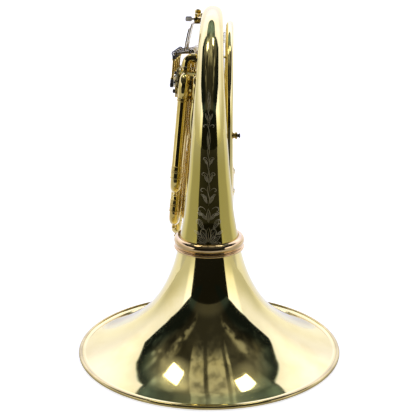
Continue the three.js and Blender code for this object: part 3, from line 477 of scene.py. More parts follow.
def flare_outline():
    reach = rim_radius - throat_radius
    knots = [(throat_radius + out * reach, up * flare_height) for up, out in flare_points]
    outer = smooth_line(knots, 12)
    ahead = [b - a for a, b in zip(outer, outer[1:])]
    ahead.append(ahead[-1])
    inner = [spot + bell_sheet * unit(vector(-way[1], way[0])) for spot, way in zip(outer, ahead)]
    inner = [(radius, height) for radius, height in inner if radius < rim_radius - 2 * bead_radius]
    bead = rounded(bead_centre, bead_radius, np.radians(np.arange(-115, 151, 10)))
    loop = [*bead, *outer, *reversed(inner)]
    return [(height, radius) for radius, height in loop]


flare = turned(origin, upward, flare_outline(), 180)
bell_shell = shown("bell_flare_shell", [flare], yellow_brass, "bell_flare", "bell", crease=60)

# Rolled rim: the bead of the bell's edge, worn to a darker gold by hands and floors, holds a
# steel wire, which shows nowhere.
rim_brass = polished_metal("rim_brass", (0.62, 0.49, 0.17), (0.40, 0.30, 0.09), 0.09, 0.1)
bell_shell.data.materials.append(rim_brass)
rim_start = (rim_radius - 2.2 * bead_radius) * millimetre
for side in bell_shell.data.polygons:
    if math.hypot(side.center.x, side.center.y - bell_axis_y) > rim_start:
        side.material_index = 1
bead_wire_radius = 1.1
wire_turns = np.linspace(0, 2 * math.pi, 12, endpoint=False)
wire_outline = [(height, radius) for radius, height in rounded(bead_centre, bead_wire_radius, wire_turns)]
bare_steel = polished_metal("bare_steel", (0.62, 0.62, 0.61), (0.46, 0.46, 0.47), 0.22, 0.12)
rim_wire = turned(origin, upward, wire_outline, 120)
shown("bell_rim_wire_core", [rim_wire], bare_steel, "bell_rim_wire", "bell")

# Screw rings: two turned rose-brass rings with rounded beads. The lower one is soldered to the
# flare and the upper one to the body, and they hide the thread that joins bell and body.
ring_radius = 41.1
ring_low = flare_height - 8.5
ring_seam = ring_low + 3.2  # top of the lower ring's bead
ring_gap = 0.3
ring_split = flare_height + ring_gap
ring_round = 5.7
ring_middle = ring_seam + ring_gap + ring_round
thread_radius = 38.5
tail_at_ring = 33.1  # the tail's radius where the upper ring ends
rose_brass = polished_metal("rose_brass", (0.76, 0.56, 0.27), (0.62, 0.42, 0.17), 0.06, 0.06)


def bead_of(low, high, reach, depth, steps=10):
    """Half a round bead from low to high, which stands depth proud of reach less depth."""
    middle, half = (low + high) / 2, (high - low) / 2
    turns = np.linspace(-math.pi / 2, math.pi / 2, steps + 1)
    return [(middle + half * math.sin(turn), reach - depth + depth * math.cos(turn)) for turn in turns]


lower_ring = [
    (ring_low, throat_radius + 2.3),
    *bead_of(ring_low + 0.05, ring_seam - 0.5, ring_radius - 0.2, 1.5),
    (ring_seam, ring_radius - 1.9),
    (ring_seam, thread_radius - ring_gap),
    (flare_height, thread_radius - ring_gap),
    (flare_height, throat_radius + 1.4),
    (ring_seam, throat_radius + 1.4),
]
upper_low = ring_seam + ring_gap
fat_turns = np.radians(np.linspace(-50, 103, 22))
fat_centre = (ring_radius - 0.1 - ring_round, ring_middle)
fat_bead = [(height, radius) for radius, height in rounded(fat_centre, ring_round, fat_turns)]
upper_ring = [
    (upper_low, thread_radius),
    (upper_low, ring_radius - 2.4),
    (upper_low + 0.75, ring_radius - 1.35),
    (upper_low + 1.1, ring_radius - 1.9),
    *fat_bead,
    (fat_bead[-1][0] - 0.5, tail_at_ring + 0.35),
    (ring_split + ring_gap, throat_radius + ring_gap),
    (ring_split, throat_radius + ring_gap),
    (ring_split, thread_radius),
]
for title, outline, body in (("lower", lower_ring, "bell"), ("upper", upper_ring, "horn_body")):
    ring = turned(origin, upward, eased(outline, 0.2), 144)
    name = f"bell_ring_{title}"
    shown(f"{name}_bead", [ring], rose_brass, name, body, crease=40)

# Bell tail: one long taper of brass sheet, rolled, seamed and bent over the top of the coil. It
# starts in the upper ring and narrows all the way to the bell branch.
coil_radius = 132
coil_height = 245
tail_low = ring_split + ring_gap
tail_end_degrees = 205
tail_slack = 0.3  # how far the smooth tube stays inside the part's box
tail_shares = [  # share of the tail's length, share of its first radius
    *((0, 1), (0.03, 0.905), (0.061, 0.822), (0.103, 0.755), (0.144, 0.681), (0.182, 0.638)),
    *((0.243, 0.564), (0.302, 0.504), (0.362, 0.46), (0.421, 0.43), (0.541, 0.386)),
    *((0.78, 0.32), (1, 0.273)),
]


def on_coil(degrees, radius=coil_radius, x=0):
    """A point of the coil's circle: 0 is the side above the bell and 90 is the top."""
    turn = math.radians(degrees)
    return vector(x, coil_radius - radius * math.cos(turn), coil_height + radius * math.sin(turn))


class Line:
    """A tube's middle line with its length so far, its heading and two directions across it."""

    def __init__(self, points):
        points = np.array(points, float)
        gaps = np.linalg.norm(np.diff(points, axis=0), axis=1)
        kept = np.concatenate([[True], gaps > 1e-6])
        self.points = points[kept]
        steps = np.diff(self.points, axis=0)
        lengths = np.linalg.norm(steps, axis=1)
        self.along = np.concatenate([[0], np.cumsum(lengths)])
        self.length = self.along[-1]
        ways = steps / lengths[:, None]
        heads = np.vstack([ways[:1], ways[1:] + ways[:-1], ways[-1:]])
        self.heads = heads / np.linalg.norm(heads, axis=1)[:, None]
        side = crossways(self.heads[0])[0]
        sides = []
        for head in self.heads:
            side = unit(side - head * np.dot(side, head))
            sides.append(side)
        self.sides = np.array(sides)

    def at(self, along):
        """Point, heading, side and other side at a distance along the line."""
        mixed = [
            np.array([np.interp(along, self.along, column) for column in table.T])
            for table in (self.points, self.heads, self.sides)
        ]
        head = unit(mixed[1])
        side = unit(mixed[2] - head * np.dot(mixed[2], head))
        return mixed[0], head, side, np.cross(head, side)


def drawn(line, outline, sides=32):
    """A tube drawn and bent along a line, from a closed outline of (distance along, radius)."""
    full = []
    for (start, from_radius), (end, to_radius) in zip(outline, [*outline[1:], outline[0]]):
        full.append((start, from_radius))
        low, high = min(start, end), max(start, end)
        between = [along for along in line.along if low + 1e-3 < along < high - 1e-3]
        if end < start:
            between.reverse()
        for along in between:
            share = (along - start) / (end - start)
            full.append((along, from_radius + (to_radius - from_radius) * share))
    turns = np.linspace(0, 2 * math.pi, sides, endpoint=False)[:, None]
    rings = []
    for along, radius in full:
        point, _, side, other = line.at(along)
        rings.append(point + radius * (np.cos(turns) * side + np.sin(turns) * other))
    return skinned(rings)


def sheet_tube(radii, wall):
    """The outline of an open tube with a wall, from a table of (distance along, radius)."""
    return radii + [(along, radius - wall) for along, radius in reversed(radii)]


tail_turns = np.linspace(0, tail_end_degrees, 160)
tail_line = Line([upward * tail_low, *map(on_coil, tail_turns)])
tail_table = smooth_line(tail_shares, 6)


def tail_radius(along):
    """The tube's radius at a distance along it: the part's own, less the slack."""
    shares, sizes = zip(*tail_table)
    radius = throat_radius * float(np.interp(along / tail_line.length, shares, sizes))
    return radius - tail_slack * min(1, along / coil_radius)


tail_radii = [(along, tail_radius(along)) for along in np.linspace(0, tail_line.length, 150)]
tail = drawn(tail_line, sheet_tube(tail_radii, bell_sheet), 96)
# Towards the ring the tail's colour goes to a deeper, darker gold: painted shade, darker towards the bottom
# of the tail
gold_start = 0.32  # heights in metres between which the tone changes
gold_end = 0.22
tail_brass = polished_metal("tail_brass_painted_shade", lacquer_light, lacquer_deep, lacquer_dull, coat=0.3)
tail_tree = tail_brass.node_tree
tail_colour = tail_tree.nodes["Principled BSDF"].inputs["Base Color"]
# painted shade: a darker gold mixed into the tail's colour lower down
painted_low_shade = node(tail_tree, "ShaderNodeMix", data_type="RGBA")
painted_low_shade.inputs[7].default_value = (0.54, 0.44, 0.09, 1)
axes_of(tail_tree)[2].ramp(gold_start, gold_end).feed(painted_low_shade.inputs["Factor"])
tail_tree.links.new(tail_colour.links[0].from_socket, painted_low_shade.inputs[6])
tail_tree.links.new(painted_low_shade.outputs[2], tail_colour)
shown("bell_tail_taper", [tail], tail_brass, "bell_tail")

# Engraving: a spray of leaves, scrolls and a vine cut by hand into the tail's front, as on many
# old horns. The cuts are shallow bright lines that follow the tube as it narrows.
cut_brass = polished_metal("cut_brass", (0.78, 0.70, 0.46), (0.50, 0.44, 0.26), 0.38, 0.12)
cut_half = 0.42
cut_proud = 0.07
cut_depth = 0.2


def on_tail(across, along, lift):
    """A point of the tail's skin, across from its front line, along it, and above the skin."""
    point, _, side, other = tail_line.at(along)
    radius = tail_radius(along)
    turn = across / radius
    return point + (radius + lift) * (math.sin(turn) * side - math.cos(turn) * other)


def cut(path):
    """One engraved stroke, pointed at both ends, along points of (across, along)."""
    path = np.array(path, float)
    ways = np.gradient(path, axis=0)
    ways = ways / np.linalg.norm(ways, axis=1)[:, None]
    rings = []
    for share, (across, along), (way_across, way_along) in zip(np.linspace(0, 1, len(path)), path, ways):
        half = cut_half * (0.2 + 0.8 * math.sin(math.pi * share) ** 0.6)
        edges = ((-half, -cut_depth), (-half / 2, cut_proud), (half / 2, cut_proud), (half, -cut_depth))
        spots = [(across + way_along * aside, along - way_across * aside, up) for aside, up in edges]
        rings.append([on_tail(*spot) for spot in spots])
    spots, faces = skinned(rings)
    last = len(spots) - 4
    return spots, [*faces[:last], [0, 1, 2, 3], [last, last + 1, last + 2, last + 3]]


def leaf(across, along, degrees, length, width):
    """Two bowed sides and a vein, from the leaf's foot; 0 degrees points up the tail."""
    turn = math.radians(degrees)
    way, aside = vector(math.sin(turn), math.cos(turn)), vector(math.cos(turn), -math.sin(turn))
    foot = vector(across, along)
    shares = np.linspace(0, 1, 9)
    strokes = []
    for bow in (-1, 0, 1):
        reach = length * (0.72 if bow == 0 else 1)
        path = [foot + way * reach * t + aside * bow * width * math.sin(math.pi * t) for t in shares]
        strokes.append(cut(path))
    return strokes


def scroll(across, along, degrees, size, way, turns=0.95):
    """A curl that winds ever tighter, from its foot."""
    place, path = vector(across, along), []
    steps = 22
    for step in range(steps):
        share = step / steps
        turn = math.radians(degrees + way * 360 * turns * share**1.35)
        path.append(place)
        place = place + vector(math.sin(turn), math.cos(turn)) * size * (1.35 - share) / steps * 2.2
    return [cut(path)]


leaves = [  # across, along, degrees from straight up, length, half width
    (0, 8, 0, 17, 2.6),
    (1.5, 7, 28, 16, 2.2),
    (2.5, 7, 58, 14, 2.0),
    (3, 6, 88, 12, 1.6),
    (5, 22, 34, 13, 1.9),
    (9, 16, 66, 9, 1.4),
    (0, 30, 0, 16, 2.0),
    (2, 33, 40, 11, 1.5),
    (6, 38, 70, 8, 1.2),
    (1.5, 52, 24, 12, 1.4),
    (2, 58, 55, 8, 1.1),
    (1.2, 76, 20, 10, 1.1),
    (1.2, 96, 26, 8, 0.9),
    (0, 112, 0, 20, 1.7),
    (1, 140, 22, 8, 0.9),
    (0, 152, 0, 17, 1.4),
]
curls = [  # across, along, degrees, size, way
    (4, 12, 60, 11, -1),
    (6, 28, 20, 9, 1),
    (3, 44, 35, 9, 1),
    (2, 66, 30, 7, 1),
    (1.5, 84, 28, 6, 1),
    (1.2, 102, 28, 5, 1),
    (1, 134, 26, 5, 1),
]
strokes = []
for mirror in (1, -1):
    for across, along, degrees, length, width in leaves:
        if across or mirror == 1:
            strokes += leaf(mirror * across, along, mirror * degrees, length, width)
    for across, along, degrees, size, way in curls:
        strokes += scroll(mirror * across, along, mirror * degrees, size, mirror * way)
for low in range(50, 150, 14):
    vine = [(1.1 * math.sin(math.pi * t), low + 12 * t) for t in np.linspace(0, 2, 13)]
    strokes.append(cut(vine))
shown("tail_engraving", strokes, cut_brass, None)

# Bell branch: the tail's taper goes on round the bottom of the coil and up to the change valve.
# A brass ferrule with rounded ends is soldered over the joint with the tail.
row_start = vector(0, 62.04, 307.964)
row_lean = 8
row_roll = 5
tube_radius = 6.3
leg_spread = 13.1
f_level = -30.5
b_flat_level = -15.5
boss_end = 20
row_turn = Matrix.Rotation(math.radians(-row_lean), 3, "X")
row_turn = row_turn @ Matrix.Rotation(math.radians(row_roll), 3, "Y")
row_turn = np.array(row_turn)
branch_start = tail_end_degrees + math.degrees(ring_gap / coil_radius)
# Share of the circle's radius, degrees round the coil, share of the way across to the valve
branch_shares = [
    (1, 225, 0),
    (1, 248, 0),
    (0.985, 270, 0.02),
    (0.935, 295, 0.12),
    (0.845, 318, 0.36),
    (0.76, 338, 0.68),
]
port_lead = 26


def from_row(x, y, z):
    """A point of the valve row, whose axis leans down to the far side, in the horn's drawing."""
    return row_start + row_turn @ vector(x, y, z)


def plain(radius, length):
    """The outline of a plain rod."""
    return [(0, 0), (0, radius), (length, radius), (length, 0)]


def round_rod(radius, length):
    """The outline of a plain rod with a rounded edge at each end."""
    return eased(plain(radius, length), 0.3 * radius)


def both_ends(half, length):
    """An outline that looks the same from either end, from the half near its start."""
    return half + [(length - along, radius) for along, radius in reversed(half)]


branch_points = [on_coil(branch_start)]
for share, turn, across in branch_shares:
    branch_points.append(on_coil(turn, share * coil_radius, across * b_flat_level))
for drop in (port_lead, ring_gap):
    branch_points.append(from_row(b_flat_level, -leg_spread, -boss_end - drop))
branch_line = Line(smooth_line(branch_points, 14))
branch_first = throat_radius * tail_shares[-1][1]
branch_radii = [
    (share * branch_line.length, branch_first + (tube_radius - branch_first) * min(1, 1.3 * share))
    for share in np.linspace(0, 1, 60)
]
branch = drawn(branch_line, [(0, 0), *branch_radii, (branch_line.length, 0)], 40)
socket_line = Line(list(map(on_coil, tail_end_degrees + np.linspace(-4, 4, 17))))
socket = [(0, branch_first + 0.75), (0, branch_first + 1.2)]
socket += bead_of(0.3, 2.1, branch_first + 1.75, 0.8, 6)
socket = both_ends(socket, socket_line.length)
ferrule = drawn(socket_line, socket, 48)
shown("bell_branch_taper", [branch, ferrule], yellow_brass, "bell_branch")

# Leadpipe: a thin tapering tube from the mouthpiece end over the top of the coil, down beside
# the bell's throat and round to the main tuning slide.
lead_x = 21
lead_circle_radius = 110
lead_circle_y = 137
lead_circle_z = 256
lead_far_degrees = 107
lead_straight = 104
lead_receiver_x = 16
lead_drop = 56
lead_bend = 50
lead_run = 15
lead_first_radius = 4.2


def on_lead(degrees):
    turn = math.radians(degrees)
    y = lead_circle_y - lead_circle_radius * math.cos(turn)
    return vector(lead_x, y, lead_circle_z + lead_circle_radius * math.sin(turn))


def arc(start, heading, radius, degrees, axis, steps):
    """Points of a bend that begins at start."""
    heading, axis = unit(vector(*heading)), unit(vector(*axis))
    centre = start + radius * np.cross(axis, heading)
    arm = start - centre
    bent = []
    for turn in np.radians(np.linspace(0, degrees, steps + 1))[1:]:
        bent.append(centre + arm * math.cos(turn) + np.cross(axis, arm) * math.sin(turn))
    return bent


far = math.radians(lead_far_degrees)
lead_out = vector(lead_receiver_x - lead_x, lead_straight * math.sin(far), lead_straight * math.cos(far))
lead_end = on_lead(lead_far_degrees) + lead_out
lead_corner = on_lead(0)
lead_foot = lead_corner - vector(0, 0, lead_drop)
main_low_z = lead_circle_z - lead_drop - lead_bend
main_start_y = lead_corner[1] + lead_bend + lead_run
lead_points = [lead_end, *map(on_lead, np.linspace(lead_far_degrees, 0, 60)), lead_foot]
lead_points += arc(lead_foot, (0, 0, -1), lead_bend, 90, (1, 0, 0), 24)
lead_points.append(lead_points[-1] + vector(0, lead_run, 0))
lead_line = Line(lead_points)
lead_outline = [(0, 0), (0, lead_first_radius), (lead_line.length, tube_radius), (lead_line.length, 0)]
shown("leadpipe_taper", [drawn(lead_line, lead_outline, 36)], yellow_brass, "leadpipe")

# Mouthpiece receiver: a turned nickel-silver socket soldered over the leadpipe's end.
receiver_length = 24
receiver_bore = 4.5
nickel_silver = polished_metal("nickel_silver", (0.80, 0.78, 0.72), (0.68, 0.65, 0.58), 0.10, 0.10)
receiver = [
    (ring_gap, 0),
    (ring_gap, lead_first_radius),
    (2.2, 5.2),
    (6.9, 6.4),
    (7.2, 7.3),
    (9.0, 7.5),
    (9.4, 6.7),
    (20.6, 6.7),
    (21.0, 7.5),
    (receiver_length, 7.5),
    (receiver_length, receiver_bore),
    (7.2, receiver_bore - 0.5),
    (7.2, 0),
]
receiver_shell = turned(lead_end, lead_out, eased(receiver, 0.35), 48)
shown("mouthpiece_socket", [receiver_shell], nickel_silver, "mouthpiece_receiver")

# Main tuning slide, beside the coil: two outer tubes with a brace, and the bow that draws out of
# them on two inner tubes, with ferrules where the bow starts and a small knob to pull it by.
# All the horn's slides are made so, and the valve slides below use the same parts.
tube_wall = 0.55
inner_radius = 5.45
ferrule_radius = 7.2
ferrule_length = 8
leg_share = 0.7
brace_share = 0.62
main_length = 58
slide_brass = polished_metal("slide_brass", (0.76, 0.60, 0.19), (0.62, 0.45, 0.11), 0.05, 0.06)


def ferrule_beads(start, end, neck):
    """The outline of a ferrule from start to end: a bead at each end and a neck between."""
    first, last = (bead_of(low, low + 1.4, ferrule_radius, 0.6, 5) for low in (start, end - 1.4))
    return [*first, (start + 1.6, neck), (end - 1.6, neck), *last]


def slide_sleeves(middle, spread, heading, length):
    """The two outer tubes of a slide, each with an end ring, and the brace between them."""
    across = unit(spread)
    shells = []
    for way in (-1, 1):
        foot = middle + way * spread
        outline = [(-ring_gap, tube_radius - tube_wall), (-ring_gap, tube_radius)]
        outline.append((length - 7, tube_radius))
        outline += bead_of(length - 6.8, length - 5.4, tube_radius + 0.5, 0.45, 5)
        outline += [(length - 5.2, tube_radius + 0.35), (length - 1.8, tube_radius + 0.35)]
        outline += [*bead_of(length - 1.6, length - 0.1, tube_radius + 0.6, 0.5, 5), (length, tube_radius)]
        outline.append((length, tube_radius - tube_wall))
        shells.append(turned(foot, heading, outline, 32))
    start = middle - spread + heading * length * brace_share + across * (tube_radius - 0.2)
    gap = 2 * np.linalg.norm(spread) - 2 * tube_radius + 0.4
    brace = [(0, 0), (0, 3.1), (0.9, 3.0), (1.5, 1.9), (gap / 2 - 1.2, 1.5), (gap / 2 - 0.8, 2.1)]
    shells.append(turned(start, across, eased(both_ends(brace, gap), 0.3, 2), 20))
    return shells


def slide_bow(middle, spread, heading, length):
    """The part of a slide that draws out: inner tubes, ferrules, the bow and its knob."""
    reach = np.linalg.norm(spread)
    bend_axis = np.cross(heading, unit(spread))
    first = middle - spread + heading * (length + ring_gap)
    bow_start = first + heading * ferrule_length
    bow = arc(bow_start, heading, reach, 180, bend_axis, 28)
    leg = length * leg_share
    last = middle + spread + heading * (length + ring_gap)
    line = Line([first - heading * leg, first, bow_start, *bow, last, last - heading * leg])
    half = [(0, 0), (0, inner_radius), (leg, inner_radius), (leg, tube_radius + 0.3)]
    half += ferrule_beads(leg + 0.1, leg + ferrule_length - 0.1, tube_radius + 0.45)
    half.append((leg + ferrule_length, tube_radius))
    crest = middle + heading * (length + ferrule_length + reach + tube_radius - 1)
    knob = [(0, 0), (0, 2.4), (1.6, 1.6), (2.6, 1.5), (3.3, 2.5), (4.3, 2.95)]
    knob += [(5.2, 2.6), (5.8, 1.5), (6, 0)]
    knob_shell = turned(crest, heading, eased(knob, 0.3, 2), 24)
    return [drawn(line, both_ends(half, line.length), 32), knob_shell]


main_middle = vector(lead_x, main_start_y + ring_gap, main_low_z + leg_spread)
main_place = (main_middle, upward * leg_spread, rearward, main_length)
shown("main_tuning_outer", slide_sleeves(*main_place), slide_brass, "main_tuning_sleeves")
shown("main_tuning_bow", slide_bow(*main_place), slide_brass, "main_tuning_slide", "main_tuning_slide")

# Lead tube: from the main tuning slide's upper leg, across the coil to the change valve.
lead_tube_radius = 22
lead_tube_run = 3
lead_tube_rise = 8
tube_start = vector(lead_x, main_start_y, main_low_z + 2 * leg_spread)
bend_start = tube_start - vector(0, lead_tube_run, 0)
rise = arc(bend_start, (0, -1, 0), lead_tube_radius, 90, (-1, 0, 0), 16)
rise_top = rise[-1] + vector(0, 0, lead_tube_rise)
lead_in = from_row(b_flat_level, leg_spread, -boss_end - port_lead)
lead_port = from_row(b_flat_level, leg_spread, -boss_end - ring_gap)
pulls = [rise_top, rise_top + vector(0, 0, port_lead), lead_in - vector(0, 0, port_lead / 2), lead_in]
crossing = []
for t in np.linspace(0, 1, 28)[1:]:
    shares = ((1 - t) ** 3, 3 * t * (1 - t) ** 2, 3 * t**2 * (1 - t), t**3)
    crossing.append(sum(share * pull for share, pull in zip(shares, pulls)))
crossing_line = Line([tube_start, bend_start, *rise, rise_top, *crossing, lead_port])
crossing_tube = drawn(crossing_line, plain(tube_radius, crossing_line.length), 32)
shown("lead_tube_bent", [crossing_tube], slide_brass, "lead_tube")

# Valve casings: four brass cylinders in a row, joined by short tubes at both levels, with the
# elbows that the slides are soldered into. The first in the row is the change valve.
valve_pitch = 42
valve_names = ["change", "first", "second", "third"]
casing_radius = 16.5
casing_bore = 14.2
casing_front = -38
casing_back = -7.5
passage_height = 5
passage_start = 10
boss_start = 10
arch_boss = 6.8
arch_boss_end = 18.5
# Points along the row and up; the second elbow is the one in front of the row
elbow_points = [(6, 4), (11.2, -4), (13.1, -12), (13.1, -20)]
near_elbow_points = [(8, 7), (14.5, 6), (19, 0), (18.4, -8), (14, -15.5), (13.1, -20)]
valve_axis = vector(1, 0, 0)


def in_row(shells, index=0):
    """Moves shells drawn round the first valve's axis to another valve's place in the row."""
    step = rearward * index * valve_pitch
    return [(row_start + (np.asarray(spots) + step) @ row_turn.T, faces) for spots, faces in shells]


def casing(index):
    depth = casing_back - casing_front
    waist = casing_radius - 0.35
    outline = both_ends([(0, casing_bore), (0, casing_radius), (2.2, casing_radius), (2.6, waist)], depth)
    shells = [turned(valve_axis * casing_front, valve_axis, eased(outline, 0.2, 2), 96)]
    for x in (f_level, b_flat_level):
        for way in (-1, 1):
            bends = near_elbow_points if (index, way) == (0, -1) else elbow_points
            line = Line(smooth_line([vector(x, way * y, z) for y, z in bends], 8))
            end = line.length
            elbow = [(0, 0), (0, tube_radius + 0.1), (end - 6.4, tube_radius + 0.1)]
            elbow += [*ferrule_beads(end - 6.2, end - 0.2, tube_radius + 0.5), (end, 0)]
            shells.append(drawn(line, elbow, 32))
            if 0 <= index + way < len(valve_names):
                passage = plain(tube_radius, valve_pitch / 2 - ring_gap / 2 - passage_start)
                foot = vector(x, way * passage_start, passage_height)
                shells.append(turned(foot, way * rearward, passage, 32))
        if index == 0:
            reach = arch_boss_end - boss_start
            boss = [(0, 0), (0, arch_boss - 0.5), (reach - 1.8, arch_boss - 0.5)]
            boss += [*bead_of(reach - 1.6, reach, arch_boss, 0.6, 5), (reach, 0)]
            shells.append(turned(vector(x, 0, boss_start), upward, boss, 32))
    return in_row(shells, index)


for index, name in enumerate(valve_names):
    shown(f"{name}_casing", casing(index), slide_brass, f"{name}_valve_casing")

# Crossover arch: a short bow of brass tube over the change valve that joins its two levels.
arch_radius = 5.5
arch_leg = 3.5
arch_foot = vector(b_flat_level, 0, arch_boss_end + ring_gap)
arch_span = (b_flat_level - f_level) / 2
arch_start = arch_foot + upward * arch_leg
arch_bow = arc(arch_start, upward, arch_span, 180, -rearward, 24)
arch_line = Line([arch_foot, arch_start, *arch_bow, vector(f_level, 0, arch_foot[2])])
arch_shell = drawn(arch_line, plain(arch_radius, arch_line.length), 32)
shown("crossover_bow", in_row([arch_shell]), slide_brass, "crossover_arch")

# Bearing plates: turned brass discs that close each casing's near end, with two stop posts, and
# screwed back caps with a knurled edge that close the other end.
plate_radius = 17.4
plate_thickness = 2
plate_front = casing_front - ring_gap - plate_thickness
arm_gap = 0.8
arm_thickness = 2.4
arm_front = plate_front - arm_gap - arm_thickness
post_reach = 11
post_radius = 2
rest_degrees = -45
stop_half = 2
post_gap = 0.5
post_degrees = math.degrees((stop_half + post_radius + post_gap) / post_reach)
post_turns = (180 + rest_degrees - post_degrees, 270 + rest_degrees + post_degrees)
stem_radius = 3
stem_gap = 0.35
cap_radius = 17.6
cap_height = 5
old_brass = polished_metal("worn_brass", (0.70, 0.56, 0.24), (0.46, 0.34, 0.12), 0.10, 0.12)


def round_row(degrees, radius, x):
    turn = math.radians(degrees)
    return vector(x, radius * math.cos(turn), radius * math.sin(turn))


def bearing_plate():
    bore = stem_radius + stem_gap
    disc = [(0, bore), (0, 6.2), (0.5, 6.6), (0.5, 11.9), (0.2, 12.3), (0.2, 15.6), (0, 16.0)]
    disc += [(0, plate_radius, 0.35), (plate_thickness, plate_radius, 0.35), (plate_thickness, bore)]
    shells = [turned(valve_axis * plate_front, valve_axis, disc, 144)]
    post = round_rod(post_radius, plate_front + plate_thickness / 2 - arm_front + ring_gap)
    for degrees in post_turns:
        shells.append(turned(round_row(degrees, post_reach, arm_front - ring_gap), valve_axis, post, 24))
    return shells


def back_cap():
    cap = [(0, 0), (0, cap_radius), (0.4, cap_radius, 0.5), (3.2, cap_radius, 0.5), (3.6, cap_radius - 0.1)]
    cap += [(cap_height, cap_radius - 1.6), (cap_height, 12.2), (cap_height - 0.5, 11.8)]
    cap += [(cap_height - 0.5, 4.6), (cap_height, 4.2), (cap_height, 0)]
    return [turned(valve_axis * (casing_back + ring_gap), valve_axis, cap, 180)]


for index, name in enumerate(valve_names):
    shown(f"{name}_plate", in_row(bearing_plate(), index), old_brass, f"{name}_bearing_plate")
    shown(f"{name}_cap", in_row(back_cap(), index), slide_brass, f"{name}_valve_cap")

# Rotors: the turning cores of the valves, in nickel silver. Outside the plate each one carries
# its stop arm and the pin that the link pulls.
rotor_gap = 0.8
rotor_slack = 0.35
pin_reach = 4.9
pin_radius = 1.5
pin_pad = 2.8
stop_reach = 12.5
arm_hub = 3.9
arm_shoulder = 3.2
hinge_x = -26
hinge_z = 36
lever_arm = 20
lever_turn = 20
eye_thickness = 4
link_x = hinge_x - lever_arm * (1 + math.cos(math.radians(lever_turn / 2))) / 2


def plate_of(outline, low, high, place, ease=0.35):
    """A flat piece with eased edges: an outline in two directions, between two heights."""
    work = bmesh.new()
    corners = [work.verts.new((x, y, low)) for x, y in outline]
    base = work.faces.new(corners)
    lifted = bmesh.ops.extrude_face_region(work, geom=[base])
    top = [spot for spot in lifted["geom"] if isinstance(spot, bmesh.types.BMVert)]
    bmesh.ops.translate(work, verts=top, vec=(0, 0, high - low))
    bmesh.ops.recalc_face_normals(work, faces=work.faces)
    edges = [edge for edge in work.edges if edge.calc_face_angle(0) > math.radians(50)]
    bmesh.ops.bevel(work, geom=edges, offset=ease, segments=2, affect="EDGES", profile=0.5)
    work.verts.index_update()
    spots = np.array([spot.co for spot in work.verts])
    faces = [[spot.index for spot in side.verts] for side in work.faces]
    work.free()
    turn, foot = place
    return spots @ np.array(turn).T + foot, faces


def columns(*ways):
    """A turn whose first, second and third directions are these."""
    return np.array([unit(vector(*way)) for way in ways]).T


def rotor():
    body = casing_back - casing_front - 2 * rotor_gap
    core = eased(plain(casing_bore - rotor_slack, body), 0.4)
    shells = [turned(valve_axis * (casing_front + rotor_gap), valve_axis, core, 72)]
    stem = round_rod(stem_radius, casing_front + 2 * rotor_gap - arm_front)
    shells.append(turned(valve_axis * (arm_front + ring_gap), valve_axis, stem, 32))
    hub = eased(plain(arm_hub, arm_thickness), 0.4)
    shells.append(turned(valve_axis * arm_front, valve_axis, hub, 40))
    ends = rounded((pin_reach, 0), pin_pad, np.linspace(-1.5, 1.5, 11))
    tail = [(-arm_shoulder, stop_half), (-stop_reach + 0.6, stop_half), (-stop_reach, stop_half - 0.7)]
    turn = columns(round_row(rest_degrees, 1, 0), round_row(rest_degrees + 90, 1, 0), valve_axis)
    arm = [*ends, *tail, *[(x, -y) for x, y in reversed(tail)]]
    shells.append(plate_of(arm, arm_front, arm_front + arm_thickness, (turn, origin), 0.3))
    pin_foot = link_x - eye_thickness / 2 - ring_gap
    pin_length = arm_front + arm_thickness / 2 - pin_foot
    pin = round_row(rest_degrees, pin_reach, pin_foot)
    shells.append(turned(pin, valve_axis, round_rod(pin_radius, pin_length), 24))
    return shells


for index, name in enumerate(valve_names):
    body = f"{name}_rotor"
    shown(f"{name}_core", in_row(rotor(), index), nickel_silver, body, body)

# Bumpers: each stop post wears a sleeve of black rubber, which the stop arm comes to rest
# against at either end of its turn.
bumper_wall = 0.25
bumper_edge = 0.1


def dull_black(name, light, deep, rough, grain):
    """Moulded black: nearly even, with a fine grain that breaks the light."""
    made = Finish(name)
    specks = made.cloud(grain, 6)
    made.toned(deep, light, specks, specks * 0.2 + rough)
    made.uneven(specks, 0.25, 0.0003)
    return made.material


black_plastic = dull_black("black_plastic", (0.030, 0.028, 0.026), (0.012, 0.011, 0.010), 0.28, 2500)
black_rubber = dull_black("black_rubber", (0.040, 0.037, 0.034), (0.016, 0.015, 0.014), 0.55, 1800)


def bumpers():
    bore, outside = post_radius - bumper_edge, post_radius + bumper_wall
    length = plate_front - arm_front - 2 * bumper_edge
    sleeve = eased([(0, bore), (0, outside), (length, outside), (length, bore)], bumper_edge)
    foot = arm_front + bumper_edge
    return [turned(round_row(turn, post_reach, foot), valve_axis, sleeve, 24) for turn in post_turns]


for index, name in enumerate(valve_names):
    shown(f"{name}_bumpers", in_row(bumpers(), index), black_rubber, None)

# Valve slides: one for each side of the horn on each finger valve, and the F tuning slide on the
# change valve. They hang from the casings' elbows and draw straight down.
slide_reaches = [
    ("f_tuning", 0, f_level, 110.075),
    ("first_f", 1, f_level, 157.065),
    ("first_b_flat", 1, b_flat_level, 150.035),
    ("second_f", 2, f_level, 74.925),
    ("second_b_flat", 2, b_flat_level, 51.985),
    ("third_f", 3, f_level, 185),
    ("third_b_flat", 3, b_flat_level, 165.02),
]
for name, index, x, reach in slide_reaches:
    length = reach - ferrule_length - leg_spread - tube_radius
    place = (vector(x, 0, -boss_end - ring_gap), rearward * leg_spread, -upward, length)
    shown(f"{name}_outer", in_row(slide_sleeves(*place), index), slide_brass, f"{name}_sleeves")
    shown(f"{name}_bow", in_row(slide_bow(*place), index), slide_brass, f"{name}_slide", f"{name}_slide")

# Levers: cast brass levers on one steel hinge rod above the row, three for the fingers and one
# for the thumb. Each is a tube on the rod, a rounded touchpiece and an arm with a stud.
hinge_rod_radius = 1.6
lever_hub = 3.3
blade_lean = 7.5
blade_offset = 9.5
arm_offset = 10
arm_bar = 1.9
stud_radius = 1.4
stud_length = 9
blade_thickness = 1.5
neck_half = 0.95
